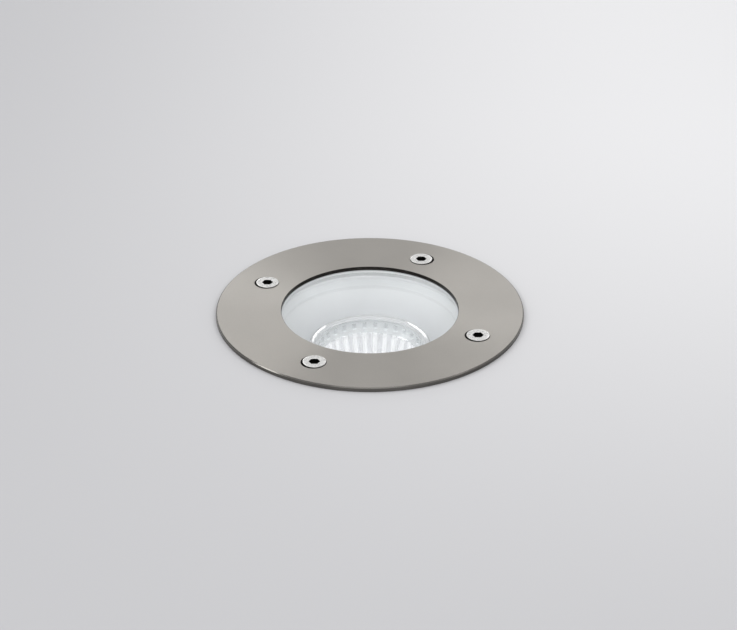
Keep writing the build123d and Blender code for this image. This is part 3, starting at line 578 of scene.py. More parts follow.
@dataclass(frozen=True)
class LidGlass(Finish):
    """Clear pressed glass that passes light straight on, with a mirror skin and a milky rim."""

    tint: Colour = (0.985, 0.99, 0.992)
    milk_tone: Colour = (0.82, 0.835, 0.85)
    milk_shade: Colour = (0.7954, 0.80995, 0.8245)
    clouds: float = 300.0
    rough: Pair = (0.06, 0.12)
    skin_rough: Pair = (0.03, 0.07)
    index: float = 1.5
    rim_radius: float = 0.0234
    rim_mirror: float = 0.55
    rim_milk: float = 0.5
    band: Pair = (0.0204, 0.0226)
    band_milk: float = 0.75
    lid_foot: float = -0.0220
    wall_radius: float = 0.0246
    lug_top: float = -0.0234
    # Painted glow: the lugs give off light of their own.
    lug_glow: float = 0.45

    def paint(self, g: Graph) -> None:
        """A clear film, milk at the rim and in the lugs, a painted glow in the lugs, and over both
        a mirror skin by Fresnel.

        Args:
            g: the material's nodes.
        """
        cloud, reach, height = g.noise(self.clouds), g.reach(), g.split()[2]
        rim = g.spread(reach, self.rim_radius - SOFT_STEP, self.rim_radius + SOFT_STEP)
        lug = g.spread(height, self.lug_top, self.lug_top - SHARP_STEP)
        on_lid = g.spread(height, self.lid_foot - SOFT_STEP, self.lid_foot)
        band = g.times(g.spread(reach, *self.band, 0.0, self.band_milk), on_lid)
        milk = g.sum("ADD", g.add(band, g.times(rim, self.rim_milk)), lug, clamp=True)
        g.surface(
            Base_Color=g.blend(g.spread(cloud, *STEEP_CLOUDS), self.milk_tone, self.milk_shade),
            Roughness=g.spread(cloud, *CLOUDS, *self.rough),
            IOR=self.index,
            # Painted glow in the lugs.
            Emission_Color=self.milk_tone,
            Emission_Strength=g.times(lug, self.lug_glow),
        )
        clear = g.clear(self.tint)
        mirror = g.node("ShaderNodeBsdfAnisotropic")
        g.feed(mirror.inputs["Roughness"], g.spread(cloud, *CLOUDS, *self.skin_rough))
        fresnel = g.node("ShaderNodeFresnel")
        fresnel.inputs["IOR"].default_value = self.index
        outer = g.less(1.0, g.back_side())
        wall = g.spread(reach, self.wall_radius - SOFT_STEP, self.wall_radius)
        body = g.layered(g.times(milk, g.sum("MAXIMUM", outer, wall)), clear, g.plain)
        skin = g.sum("MAXIMUM", fresnel.outputs[0], g.times(rim, self.rim_mirror))
        g.lit_through(g.layered(g.times(skin, outer), body, mirror.outputs[0]), clear)


@dataclass(frozen=True)
class Silvering(Finish):
    """Silvered pressed glass: a hazy mirror with a painted glow and painted white highlights, both
    strongest where the flutes meet.
    """

    tone: Colour = (0.95, 0.95, 0.965)
    shade_tone: Colour = (0.9025, 0.9025, 0.91675)
    # Painted highlight: a white tone, with less mirror, where the flutes meet.
    cusp_highlight_tone: Colour = (0.99, 0.99, 0.99)
    bare_tone: Colour = (0.94, 0.955, 0.96)
    bare_height: float = -0.02575
    mirror_share: float = 0.85
    flutes: int = 30
    cusp_lobes: Pair = (0.9, 0.45)
    cusp_highlight_haze: float = 0.5
    # Painted glow: the silver's emission, from flute middles to where the flutes meet.
    glow: Pair = (0.125, 0.25)
    haze: float = 420.0
    rough: Pair = (0.04, 0.14)
    ripple: float = 240.0
    bump: Pair = (0.00005, 0.3)

    def paint(self, g: Graph) -> None:
        """Haze in small clouds and a mould's ripple; the rim above it is bare milky glass.

        Painted highlights make it whiter and less of a mirror where the flutes meet, where
        sin(flutes * angle / 2) is 0; a painted glow over the silver is strongest there too.

        Args:
            g: the material's nodes.
        """
        haze = g.noise(self.haze, 3.0)
        x, y, z = g.split()
        bare = g.spread(z, self.bare_height, self.bare_height + SHARP_STEP)
        silvered = g.less(1.0, bare)
        lobe = g.sum("ABSOLUTE", g.sum("SINE", g.times(g.sum("ARCTAN2", y, x), self.flutes / 2)))
        # cusp marks where the flutes meet, where highlights are painted.
        cusp = g.spread(lobe, *self.cusp_lobes)
        hazy = g.blend(g.spread(haze, *CLOUDS), self.tone, self.shade_tone)
        silver = g.blend(cusp, hazy, self.cusp_highlight_tone)
        mirror = g.less(self.mirror_share, g.times(cusp, self.cusp_highlight_haze))
        g.surface(
            Base_Color=g.blend(bare, silver, self.bare_tone),
            Metallic=g.times(mirror, silvered),
            Roughness=g.spread(haze, *WIDE_CLOUDS, *self.rough),
            # Painted glow: the silvered bowl gives off light of its own, most where the flutes
            # meet.
            Emission_Color=self.tone,
            Emission_Strength=g.times(g.spread(lobe, *self.cusp_lobes, *self.glow), silvered),
            Normal=g.relief(g.noise(self.ripple), *self.bump),
        )


@dataclass(frozen=True)
class Enamel(Finish):
    """Smooth white enamel on spun metal."""

    tone: Colour = (0.88, 0.90, 0.91)
    shade_tone: Colour = (0.86, 0.88, 0.89)
    # Painted shade: the enamel turns to this greyer tone between these two heights, deeper in the
    # funnel.
    deep_shade_tone: Colour = (0.72, 0.74, 0.76)
    heights: Pair = (-0.0110, -0.0215)
    clouds: float = 90.0
    rough: Pair = (0.33, 0.43)
    coat: float = 0.12
    coat_rough: float = 0.2
    rings: Triple = (60.0, 60.0, 2600.0)
    bump: Pair = (0.00001, 0.3)

    def paint(self, g: Graph) -> None:
        """Faint spinning rings, small clouds, a thin gloss coat, and painted shade that greys it
        deep down.

        Args:
            g: the material's nodes.
        """
        cloud = g.noise(self.clouds, 3.0)
        white = g.blend(g.spread(cloud, *CLOUDS), self.tone, self.shade_tone)
        g.surface(
            Base_Color=g.blend(g.spread(g.split()[2], *self.heights), white, self.deep_shade_tone),
            Roughness=g.spread(cloud, *CLOUDS, *self.rough),
            Coat_Weight=self.coat,
            Coat_Roughness=self.coat_rough,
            Normal=g.relief(g.noise(1.0, 1.0, g.mapped(self.rings)), *self.bump),
        )


@dataclass(frozen=True)
class SoftRubber(Finish):
    """Moulded rubber or silicone with a fine matt skin."""

    tone: Colour = (0.05, 0.05, 0.05)
    bloom_tone: Colour = (0.08, 0.08, 0.08)
    clouds: float = 150.0
    skin: float = 2600.0
    rough: Pair = (0.54, 0.70)
    bump: Pair = (0.00003, 0.4)
    # Painted shade: a darker tone above one height.
    top_shade_tone: Colour = (0.05, 0.05, 0.05)
    top_shade_heights: Pair = (1.0, 1.0003)

    def paint(self, g: Graph) -> None:
        """Bloom in clouds, a matt skin's grains, and painted shade above one height.

        Args:
            g: the material's nodes.
        """
        cloud = g.noise(self.clouds, 4.0)
        top_shaded = g.spread(g.split()[2], *self.top_shade_heights)
        clean = g.blend(g.spread(cloud, *PALE_CLOUDS), self.tone, self.bloom_tone)
        g.surface(
            Base_Color=g.blend(top_shaded, clean, self.top_shade_tone),
            Roughness=g.spread(cloud, *CLOUDS, *self.rough),
            Normal=g.relief(g.grains(self.skin), *self.bump),
        )


@dataclass(frozen=True)
class MouldedPlastic(Finish):
    """Injection-moulded plastic with a spark-eroded texture and flow clouds."""

    tone: Colour = (0.030, 0.031, 0.033)
    worn_tone: Colour = (0.055, 0.056, 0.058)
    flow: Triple = (45.0, 45.0, 12.0)
    wear: Pair = (0.4, 0.75)
    texture: float = 1500.0
    rough: Pair = (0.42, 0.60)
    bump: Pair = (0.00006, 0.5)

    def paint(self, g: Graph) -> None:
        """Texture in relief, and flow clouds in tone and roughness.

        Args:
            g: the material's nodes.
        """
        flow = g.noise(1.0, 4.0, g.mapped(self.flow))
        texture = g.noise(self.texture, 3.0)
        g.surface(
            Base_Color=g.blend(g.spread(flow, *self.wear), self.tone, self.worn_tone),
            Roughness=g.spread(texture, *CLOUDS, *self.rough),
            Normal=g.relief(texture, *self.bump),
        )


@dataclass(frozen=True)
class CastMetal(Finish):
    """Die-cast aluminium under a grey powder coat."""

    tone: Colour = (0.20, 0.205, 0.21)
    light_tone: Colour = (0.27, 0.275, 0.28)
    metal: float = 0.15
    peel: float = 900.0
    peel_share: float = 0.5
    speckle: float = 1800.0
    specks: Pair = (0.1, 0.6)
    clouds: float = 35.0
    rough: Pair = (0.45, 0.65)
    bump: Pair = (0.0001, 0.5)

    def paint(self, g: Graph) -> None:
        """Orange-peel relief, speckle and slightly lighter raised spots.

        Args:
            g: the material's nodes.
        """
        peel = g.noise(self.peel)
        cloud = g.times(g.noise(self.clouds, 3.0), 1 - self.peel_share)
        mottled = g.add(g.times(peel, self.peel_share), cloud)
        g.surface(
            Base_Color=g.blend(g.spread(mottled, *STEEP_CLOUDS), self.tone, self.light_tone),
            Metallic=self.metal,
            Roughness=g.spread(g.grains(self.speckle), *self.specks, *self.rough),
            Normal=g.relief(peel, *self.bump),
        )


@dataclass(frozen=True)
class Ceramic(Finish):
    """Unglazed pressed steatite."""

    tone: Colour = (0.76, 0.73, 0.66)
    dark_tone: Colour = (0.66, 0.62, 0.54)
    clouds: float = 160.0
    pores: float = 1500.0
    pore_size: float = 0.35
    pore_share: float = 0.4
    rough: Pair = (0.62, 0.78)
    bump: Pair = (0.00008, 0.4)

    def paint(self, g: Graph) -> None:
        """Fine pores, a chalky relief and warmer clouds.

        Args:
            g: the material's nodes.
        """
        cloud = g.noise(self.clouds, 4.0)
        solid = g.spread(g.grains(self.pores), 0.0, self.pore_size)
        body = g.blend(g.spread(cloud, *PALE_CLOUDS), self.tone, self.dark_tone)
        g.surface(
            Base_Color=g.blend(g.times(g.less(1.0, solid), self.pore_share), body, self.dark_tone),
            Roughness=g.spread(cloud, *CLOUDS, *self.rough),
            Normal=g.relief(solid, *self.bump),
        )


@dataclass(frozen=True)
class StripedSkin(Finish):
    """Coloured lead insulation, with stripes of a second colour."""

    tone: Colour = (0.10, 0.04, 0.02)
    stripe_tone: Colour = (0.10, 0.04, 0.02)
    stripes: float = 220.0
    stripe_edge: Pair = (-0.1, 0.1)
    skin: float = 1800.0
    rough: Pair = (0.4, 0.55)
    bump: Pair = (0.00002, 0.4)

    def paint(self, g: Graph) -> None:
        """A fine skin, and stripes wherever sin(pi * stripes * (x + y + z)) is positive.

        Args:
            g: the material's nodes.
        """
        x, y, z = g.split()
        wound = g.sum("SINE", g.times(g.add(g.add(x, y), z), self.stripes * TURN / 2))
        skin = g.noise(self.skin)
        g.surface(
            Base_Color=g.blend(g.spread(wound, *self.stripe_edge), self.tone, self.stripe_tone),
            Roughness=g.spread(skin, *CLOUDS, *self.rough),
            Normal=g.relief(skin, *self.bump),
        )


ZINC = BrightSteel(tone=(0.62, 0.63, 0.62), dark_tone=(0.50, 0.51, 0.50))


# --- Surfaces from arrays ----------------------------------------------------------


def arc(centre: Pair, radius: float, start: float, end: float, count: int) -> np.ndarray:
    """Points along a circle's arc in a profile.

    Args:
        centre: the circle's distance from the axis and its height.
        radius: the circle's radius.
        start: first angle in degrees, from outwards.
        end: last angle in degrees.
        count: how many points.

    Returns:
        One row of distance and height for each point.
    """
    angle = np.radians(np.linspace(start, end, count))
    return np.column_stack((centre[0] + radius * np.cos(angle), centre[1] + radius * np.sin(angle)))


def round_the_axis(columns: int) -> np.ndarray:
    """Equal steps of angle once round the axis."""
    return TURN * np.arange(columns) / columns


def turned(profile: np.ndarray, columns: int) -> np.ndarray:
    """A profile turned about the axis: each point (r, z) becomes (r cos a, r sin a, z).

    Args:
        profile: rows of distance and height.
        columns: steps round the axis.

    Returns:
        A grid of points, one row for each profile point.
    """
    angle = round_the_axis(columns)
    reach, height = profile[:, :1], profile[:, 1:]
    return np.stack((reach * np.cos(angle), reach * np.sin(angle), height + 0 * angle), axis=-1)


def tube(path: np.ndarray, radius: float, sides: int) -> np.ndarray:
    """A round wire along a path: its circles lie across the path, and both ends close to a point.

    Args:
        path: points along the middle.
        radius: the wire's radius.
        sides: points round the wire.

    Returns:
        A grid of points, one row for each circle.
    """
    skew = (0.31, 0.17, 0.94)
    along = np.gradient(path, axis=0)
    along /= np.linalg.norm(along, axis=1, keepdims=True)
    across = np.cross(along, skew)
    across /= np.linalg.norm(across, axis=1, keepdims=True)
    other = np.cross(along, across)
    angle = round_the_axis(sides)[None, :, None]
    ring = np.cos(angle) * across[:, None, :] + np.sin(angle) * other[:, None, :]
    skin = path[:, None, :] + radius * ring
    caps = np.repeat(path[[0, -1], None, :], sides, axis=1)
    return np.concatenate((caps[:1], skin, caps[1:]))


def grid_faces(rows: int, columns: int, closed_rows: bool = False) -> np.ndarray:
    """The corners of the faces that join neighbouring points of a grid, closed round its columns.

    Args:
        rows: the grid's rows.
        columns: the grid's columns.
        closed_rows: also joins the last row to the first.

    Returns:
        Four point numbers for each face.
    """
    index = np.arange(rows * columns).reshape(rows, columns)
    index = np.hstack((index, index[:, :1]))
    if closed_rows:
        index = np.vstack((index, index[:1]))
    corners = (index[:-1, :-1], index[:-1, 1:], index[1:, 1:], index[1:, :-1])
    return np.stack(corners, axis=-1).reshape(-1, 4)


def linked(name: str, data: bpy.types.ID) -> bpy.types.Object:
    """Puts a mesh, a lamp or a camera into the scene.

    Args:
        name: the object's name.
        data: what the object shows.

    Returns:
        The object.
    """
    made = bpy.data.objects.new(name, data)
    bpy.context.scene.collection.objects.link(made)
    return made


def mesh_object(
    name: str, grids: Sequence[np.ndarray], closed_rows: bool = False, crease: float = CREASE
) -> bpy.types.Object:
    """Makes one object from grids of points, each of which closes round its columns.

    Where a grid encloses a negative volume its faces are turned over, so that they point outwards.
    Rows that shrink to a point are merged.

    Args:
        name: the object's name.
        grids: arrays of rows, columns and three coordinates.
        closed_rows: also joins the last row to the first.
        crease: the angle in degrees above which an edge stays sharp.

    Returns:
        The linked object.
    """
    merge_distance = 1e-7
    points, quads, start = [], [], 0
    for grid in grids:
        faces = grid_faces(*grid.shape[:2], closed_rows)
        flat = grid.reshape(-1, 3)
        a, b, c, d = (flat[faces[:, i]] for i in range(4))
        volume = np.einsum("ij,ij->", a, np.cross(b, c)) + np.einsum("ij,ij->", a, np.cross(c, d))
        points.append(flat)
        quads.append(start + (faces if volume > 0 else faces[:, ::-1]))
        start += len(flat)
    mesh = bpy.data.meshes.new(name)
    mesh.from_pydata(np.concatenate(points), [], np.concatenate(quads).tolist())
    work = bmesh.new()
    work.from_mesh(mesh)
    bmesh.ops.remove_doubles(work, verts=work.verts, dist=merge_distance)
    work.to_mesh(mesh)
    work.free()
    mesh.polygons.foreach_set("use_smooth", np.ones(len(mesh.polygons), bool))
    mesh.set_sharp_from_angle(angle=math.radians(crease))
    return linked(name, mesh)


# --- Pieces ------------------------------------------------------------------------


class Carrier(Enum):
    """The bodies that pieces ride on."""

    LIGHT = "light"
    LAMP = "lamp"


class Assembly:
    """A group of pieces that is built and dressed together."""

    carrier = Carrier.LIGHT

    def dress(self, finish: Finish, *nodes: str) -> None:
        """Gives solids from the frame one finish, under the first one's name.

        Args:
            finish: their surface.
            nodes: the solids' names.
        """
        material = finish.material(f"{nodes[0]}_finish")
        for name in nodes:
            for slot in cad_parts[name].material_slots:
                slot.material = material
            log.info("%s keeps its solid and gets %s", name, type(finish).__name__)

    def add(self, piece: bpy.types.Object, finish: Finish, slot: str, *replaced: str) -> None:
        """Finishes a new piece, sets it on this assembly's body and hides what it stands for.

        Args:
            piece: the new object.
            finish: its surface.
            slot: a material slot's name; not used.
            replaced: the solids that it stands for.
        """
        piece.data.materials.append(finish.material(f"{piece.name}_finish"))
        if replaced:
            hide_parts(*replaced)
        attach(piece, self.carrier.value)
        faces, body = len(piece.data.polygons), self.carrier.value
        log.info("%s: %d faces on %s, for %s", piece.name, faces, body, replaced or "nothing")

    def build(self) -> None:
        """Makes and dresses every piece of the group."""
        raise NotImplementedError


@dataclass
class Cover(Assembly):
    """The steel ring, its four screws, the plate glass and the gasket round it."""

    columns: int = 240
    glass_gap: float = 0.00002
    glass_arris: float = 0.0006
    lip_inner: float = 0.0358
    lip_thick: float = 0.0005
    lower_lip_inner: float = 0.0380
    lower_lip_thick: float = 0.0012
    channel_radius: float = 0.0411
    soft_corner: float = 0.0002
    screw_columns: int = 96
    screw_shifts: tuple[Pair, ...] = (
        (-0.0003, 0.0001), (0.0003, 0.0001), (0.0003, 0.00015), (0.0003, 0.00015),
    )
    head_radius: float = 0.00462
    head_arris: float = 0.00016
    arris_share: float = 0.3
    head_side: float = 0.00039
    head_land: float = 0.0005
    dish_depth: float = 0.00007
    dish_slope: float = 0.00012
    shank_radius: float = 0.00235
    shank_point: float = 0.0006
    socket_flats: float = 0.0040
    socket_arris: float = 0.00006
    socket_depth: float = 0.0019
    socket_point: float = 0.0004
    drill_share: float = 0.9
    face_edge: float = 0.0024
    ring: Finish = SatinSteel()
    # The gasket's lip top, under the ring's edge, carries painted shade.
    gasket: Finish = SoftRubber(
        tone=(0.92, 0.93, 0.94), bloom_tone=(0.89, 0.90, 0.91), rough=(0.37, 0.53),
        top_shade_tone=(0.56, 0.575, 0.59), top_shade_heights=(-0.0001, 0.0002),
    )
    glass: Finish = ClearGlass(
        tint=(0.985, 0.99, 0.99), ground_radius=0.0403, index=1.5, bump=(0.000002, 0.5)
    )
    # The screws' sockets and the head sides below this height carry painted shade.
    screws: Finish = BrightSteel(low_shade_height=0.00216)

    def build(self) -> None:
        """Makes the gasket, the glass and the screws, and dresses the ring."""
        self.dress(self.ring, "trim_ring")
        self.add(self.channel(), self.gasket, "white_silicone", "lens_gasket")
        self.add(self.plate(), self.glass, "clear_glass", "glass_lens")
        self.add(self.screw_set(), self.screws, "screw_steel", "cover_screws")

    def plate(self) -> bpy.types.Object:
        """The plate glass: a disc with polished arrises, a hair clear of its gasket on every side.

        Returns:
            The glass.
        """
        low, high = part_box("glass_lens")
        gap, cut = self.glass_gap, self.glass_arris
        radius, top, bottom = high.x - gap, high.z - gap, low.z + gap
        profile = np.array([
            [0.0, top], [radius / 2, top], [radius - cut, top], [radius, top - cut],
            [radius, bottom + cut], [radius - cut, bottom], [radius / 2, bottom], [0.0, bottom],
        ])
        return mesh_object("window_glass", [turned(profile, self.columns)])

    def channel(self) -> bpy.types.Object:
        """The gasket: a channel round the glass's edge, with soft corners on both of its lips.

        Returns:
            The gasket.
        """
        low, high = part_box("lens_gasket")
        rim, top, foot = high.x, high.z, low.z
        soft = self.soft_corner
        upper, lower = top - self.lip_thick, foot + self.lower_lip_thick
        profile = np.vstack((
            [[self.channel_radius, upper], [self.lip_inner + soft / 2, upper]],
            arc((self.lip_inner + soft, top - soft), soft, 180, 90, 5),
            [[rim - soft, top]],
            arc((rim - soft, top - soft), soft, 80, 0, 4),
            arc((rim - soft, foot + soft), soft, 0, -90, 5),
            arc((self.lower_lip_inner + soft, foot + soft), soft, 270, 180, 5),
            arc((self.lower_lip_inner + soft, lower - soft), soft, 180, 90, 5),
            [[self.channel_radius, lower]],
        ))
        return mesh_object("glass_channel", [turned(profile, self.columns)], closed_rows=True)

    def screw_set(self) -> bpy.types.Object:
        """Four countersunk screws, each a little off the middle of its countersink.

        A socket's radius at angle a is half its flats over cos(a), with a folded into 30 degrees
        each way, so that its points lie along X.

        Returns:
            The screws.
        """
        low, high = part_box("cover_screws")
        top, foot = high.z, low.z
        angle = round_the_axis(self.screw_columns)
        fold = np.abs((angle + TURN / 12) % (TURN / 6) - TURN / 12)
        hexagon = self.socket_flats / 2 / np.cos(TURN / 12 - fold)
        floor, dish = top - self.socket_depth, top - self.dish_depth
        head, shank, arris = self.head_radius, self.shank_radius, self.head_arris
        land, cut = head - self.head_land, self.arris_share * arris
        rows = [
            (0.0, floor - self.socket_point), (self.drill_share * self.socket_flats / 2, floor),
            (hexagon, floor), (hexagon, top - self.socket_arris),
            (hexagon + self.socket_arris, top),
            (self.face_edge, top), (self.face_edge + self.dish_slope, dish),
            (land - self.dish_slope, dish), (land, top), (head - arris, top),
            (head - cut, top - cut), (head, top - arris),
            (head, top - self.head_side), (shank, top - self.head_side - head + shank),
            (shank, foot + self.shank_point), (shank - self.shank_point, foot), (0.0, foot),
        ]
        reach = np.stack([np.broadcast_to(row[0], angle.shape) for row in rows])
        height = np.stack([np.full(angle.shape, row[1]) for row in rows])
        grids = []
        for quarter, shift in enumerate(self.screw_shifts):
            place = math.radians(SCREW_ANGLE + 90 * quarter)
            x = SCREW_CIRCLE * math.cos(place) + shift[0] + reach * np.cos(angle)
            y = SCREW_CIRCLE * math.sin(place) + shift[1] + reach * np.sin(angle)
            grids.append(np.stack((x, y, height), axis=-1))
        return mesh_object("head_screws", grids, crease=FINE_CREASE)


@dataclass
class Funnel(Assembly):
    """The white funnel between the glass and the lamp."""

    columns: int = 240
    steps: int = 28
    mouth_radius: float = 0.0384
    mouth_round: float = 0.0002
    throat_radius: float = 0.0252
    throat_height: float = -0.0206
    wall: float = 0.0012
    flange: float = 0.0010
    bow: float = 0.0009
    enamel: Finish = Enamel()

    def build(self) -> None:
        """Makes the funnel."""
        self.add(self.shell(), self.enamel, "white_enamel", "white_reflector")

    def bowed(self, start: Pair, end: Pair) -> np.ndarray:
        """A line that bows down and out by a parabola, 4 t (1 - t) times the bow.

        Args:
            start: first distance and height.
            end: last distance and height.

        Returns:
            Rows of distance and height.
        """
        step = np.linspace(0.0, 1.0, self.steps)[:, None]
        first, last = np.array(start), np.array(end)
        along = (last - first) / np.linalg.norm(last - first)
        out = np.array((abs(along[1]), -abs(along[0])))
        return first + step * (last - first) + self.bow * 4 * step * (1 - step) * out

    def shell(self) -> bpy.types.Object:
        """The spun funnel: a flange, a bowed cone and a straight skirt, all one wall thick.

        Returns:
            The funnel.
        """
        low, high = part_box("white_reflector")
        rim, top, foot = high.x, high.z, low.z
        mouth, throat, neck = self.mouth_radius, self.throat_radius, self.throat_height
        wall, ledge = self.wall, top - self.flange
        inside = self.bowed((mouth, top - self.mouth_round), (throat, neck))[::-1]
        outside = self.bowed((mouth + wall, ledge), (throat + wall, neck - wall / 2))
        profile = np.vstack((
            [[throat, foot]],
            inside,
            [[mouth + self.mouth_round, top], [rim, top], [rim, ledge]],
            outside,
            [[throat + wall, foot]],
        ))
        return mesh_object("funnel_shell", [turned(profile, self.columns)], closed_rows=True)


@dataclass
class ReflectorLamp(Assembly):
    """The twist-lock lamp: pressed lid, fluted silvered bowl, quartz capsule, base and pins.

    Each of a lug's levels is a share of its outline and a share of its height.
    """

    carrier = Carrier.LAMP
    columns: int = 480
    bevel_width: float = 0.0012
    bevel_slope: float = 16.0
    bevel_bow: float = 0.00001
    bevel_steps: int = 9
    step_radius: float = 0.0227
    step_width: float = 0.0003
    step_depth: float = 0.0002
    rim_round: float = 0.0005
    foot_round: float = 0.0004
    lug_room: float = 0.0009
    lug_count: int = 30
    lug_circle: float = 0.0214
    lug_size: Triple = (0.0008, 0.0016, 0.0021)
    lug_power: float = 0.4
    lug_sides: int = 16
    lug_levels: tuple[Pair, ...] = ((0.0, 0.2), (1.0, 0.2), (1.0, -0.8), (0.85, -1.0), (0.0, -1.0))
    rim_height: float = 0.0030
    rim_lift: float = 0.00085
    rim_soft: float = 0.0003
    cone_mouth: float = 0.0244
    cone_cut: float = 0.0001
    cone_depth: float = 0.0028
    lip_radius: float = 0.0206
    lip_round: float = 0.00028
    lip_gap: float = 0.00005
    mirror_radius: float = 0.0202
    mirror_band: float = 0.0006
    mirror_foot: float = 0.0066
    foot_lift: float = 0.0050
    levels: int = 60
    crowding: float = 1.5
    flute_count: int = 30
    flute_depth: float = 0.0009
    flute_arch: float = 0.0007
    flute_fade: float = 0.35
    neck_radius: float = 0.0105
    neck_bore: float = 0.0043
    coil_turns: int = 13
    coil_steps: int = 24
    coil_radius: float = 0.0008
    coil_length: float = 0.0062
    coil_drop: float = 2.2
    leg_gap: float = 0.0002
    leg_spread: float = 0.0018
    leg_foot: float = 0.006
    leg_steps: int = 12
    wire_radius: float = 0.00014
    wire_sides: int = 8
    lid_glass: Finish = LidGlass()
    silver: Finish = Silvering()
    tungsten: Finish = GlowingWire()
    quartz: Finish = ClearGlass(tint=(0.98, 0.98, 0.98))
    steatite: Finish = Ceramic()
    steel: Finish = BrightSteel()

    def build(self) -> None:
        """Makes the glass pieces and the filament, and dresses the rest."""
        self.add(self.lid(), self.lid_glass, "lamp_glass", "lamp_front_glass")
        self.add(self.bowl(), self.silver, "silvered_glass", "lamp_reflector")
        self.add(self.filament(), self.tungsten, "pin_metal")
        self.dress(self.quartz, "lamp_capsule")
        self.dress(self.steatite, "lamp_base")
        self.dress(self.steel, "lamp_pins")

    def lid(self) -> bpy.types.Object:
        """The pressed front glass: a disc, a low step, a bevel that rises to the rim, and lugs.

        The bevel bows up by a parabola, 4 t (1 - t) times its bow.

        Returns:
            The lid.
        """
        low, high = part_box("lamp_front_glass")
        radius, top, bottom = high.x, high.z, low.z + self.lug_room
        rise = self.bevel_width * math.tan(math.radians(self.bevel_slope))
        face = top - rise
        sunk = face - self.step_depth
        inner = radius - self.bevel_width - self.rim_round
        share = np.linspace(0.0, 1.0, self.bevel_steps)
        bow = self.bevel_bow * 4 * share * (1 - share)
        step, rim, heel = self.step_radius, self.rim_round, self.foot_round
        profile = np.vstack((
            [[0.0, sunk], [inner / 2, sunk], [step, sunk], [step + self.step_width, face]],
            np.column_stack((inner + self.bevel_width * share, face + rise * share + bow)),
            arc((radius - rim, top - rim), rim, 75, 0, 9),
            arc((radius - heel, bottom + heel), heel, 0, -90, 5),
            [[self.mirror_radius, bottom], [self.mirror_radius / 2, bottom], [0.0, bottom]],
        ))
        grids = [turned(profile, self.columns // 2), *self.lugs(bottom)]
        return mesh_object("lamp_lid", grids, crease=FINE_CREASE)

    def lugs(self, top: float) -> list[np.ndarray]:
        """Small glass blocks round the lid: each is a squared circle that tapers to its foot.

        The outline at angle a is cos(a) and sin(a), each with its size raised to a power below 1.

        Args:
            top: the height that they hang from.

        Returns:
            One grid for each lug.
        """
        deep, wide, tall = self.lug_size
        angle = TURN * (np.arange(self.lug_sides) + 0.5) / self.lug_sides
        round_side = np.stack((np.cos(angle), np.sin(angle)))
        along, across = np.sign(round_side) * np.abs(round_side) ** self.lug_power
        share, drop = np.array(self.lug_levels).T[:, :, None]
        x = self.lug_circle + deep / 2 * share * along
        y = wide / 2 * share * across
        z = np.broadcast_to(top + tall * drop, x.shape)
        turns = [(math.cos(turn), math.sin(turn)) for turn in round_the_axis(self.lug_count)]
        return [np.stack((x * c - y * s, x * s + y * c, z), axis=-1) for c, s in turns]

    def bowl(self) -> bpy.types.Object:
        """The silvered bowl: a cone and a round lip over the flutes; outside, an arc to the neck.

        Inside, the radius grows with the square root of the height's share of the depth, and each
        flute adds |sin| of half its turn times its depth. The flutes end under arched tops.

        Returns:
            The bowl.
        """
        low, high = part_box("lamp_reflector")
        radius, rim, foot = high.x, high.z, low.z
        brim = rim + self.rim_lift
        lip = rim - self.cone_depth - self.lip_round
        flute_top = lip - self.lip_round - self.mirror_band
        bowl_foot = foot + self.foot_lift
        drop, depth = radius - self.neck_radius, rim - self.rim_height - bowl_foot
        bend = (drop**2 + depth**2) / (2 * drop)
        sweep = math.degrees(math.asin(depth / bend))
        level = 1 - (1 - np.linspace(0.0, 1.0, self.levels)) ** self.crowding
        inside = np.column_stack((
            self.mirror_foot + (self.mirror_radius - self.mirror_foot) * np.sqrt(level),
            bowl_foot + (flute_top - bowl_foot) * level,
        ))
        profile = np.vstack((
            [[self.neck_bore, foot], [self.neck_bore, bowl_foot]],
            inside,
            [[self.mirror_radius + self.lip_gap, lip - self.lip_round]],
            arc((self.lip_radius, lip), self.lip_round, 200, 50, 8),
            [[self.cone_mouth - self.cone_cut, brim - self.cone_cut], [self.cone_mouth, brim]],
            arc((radius - self.rim_soft, brim - self.rim_soft), self.rim_soft, 90, 0, 5),
            arc((radius - bend, rim - self.rim_height), bend, 0, -sweep, 18),
            [[self.neck_radius, foot]],
        ))
        grid = turned(profile, self.columns)
        angle = round_the_axis(self.columns)
        lobe = np.abs(np.sin(self.flute_count * angle / 2))
        arch = flute_top - self.flute_arch * (1 - lobe)
        rows = slice(2, 2 + self.levels)
        fade = np.clip((arch - grid[rows, :, 2]) / (self.flute_fade * self.flute_arch), 0, 1)
        swell = self.flute_depth * lobe * np.sqrt(fade) * (inside[:, :1] / self.mirror_radius)
        grid[rows, :, 0] += swell * np.cos(angle)
        grid[rows, :, 1] += swell * np.sin(angle)
        return mesh_object("lamp_bowl", [grid], closed_rows=True, crease=FINE_CREASE)

    def filament(self) -> bpy.types.Object:
        """The coiled wire in the capsule: a helix across the bulb, with a straight leg at each end.

        Returns:
            The filament.
        """
        low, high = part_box("lamp_capsule")
        middle = high.z - self.coil_drop * high.x
        turn = np.linspace(0.0, TURN * self.coil_turns, self.coil_steps * self.coil_turns)
        coil = np.column_stack((
            self.coil_length * (turn / turn[-1] - 0.5),
            self.coil_radius * np.sin(turn),
            middle + self.coil_radius * np.cos(turn),
        ))
        start = (self.coil_length / 2 + self.leg_gap, 0.0, middle + self.coil_radius)
        leg = np.linspace(start, (self.leg_spread, 0.0, low.z + self.leg_foot), self.leg_steps)
        paths = (coil, leg * (-1, 1, 1), leg)
        grids = [tube(path, self.wire_radius, self.wire_sides) for path in paths]
        return mesh_object("capsule_filament", grids)


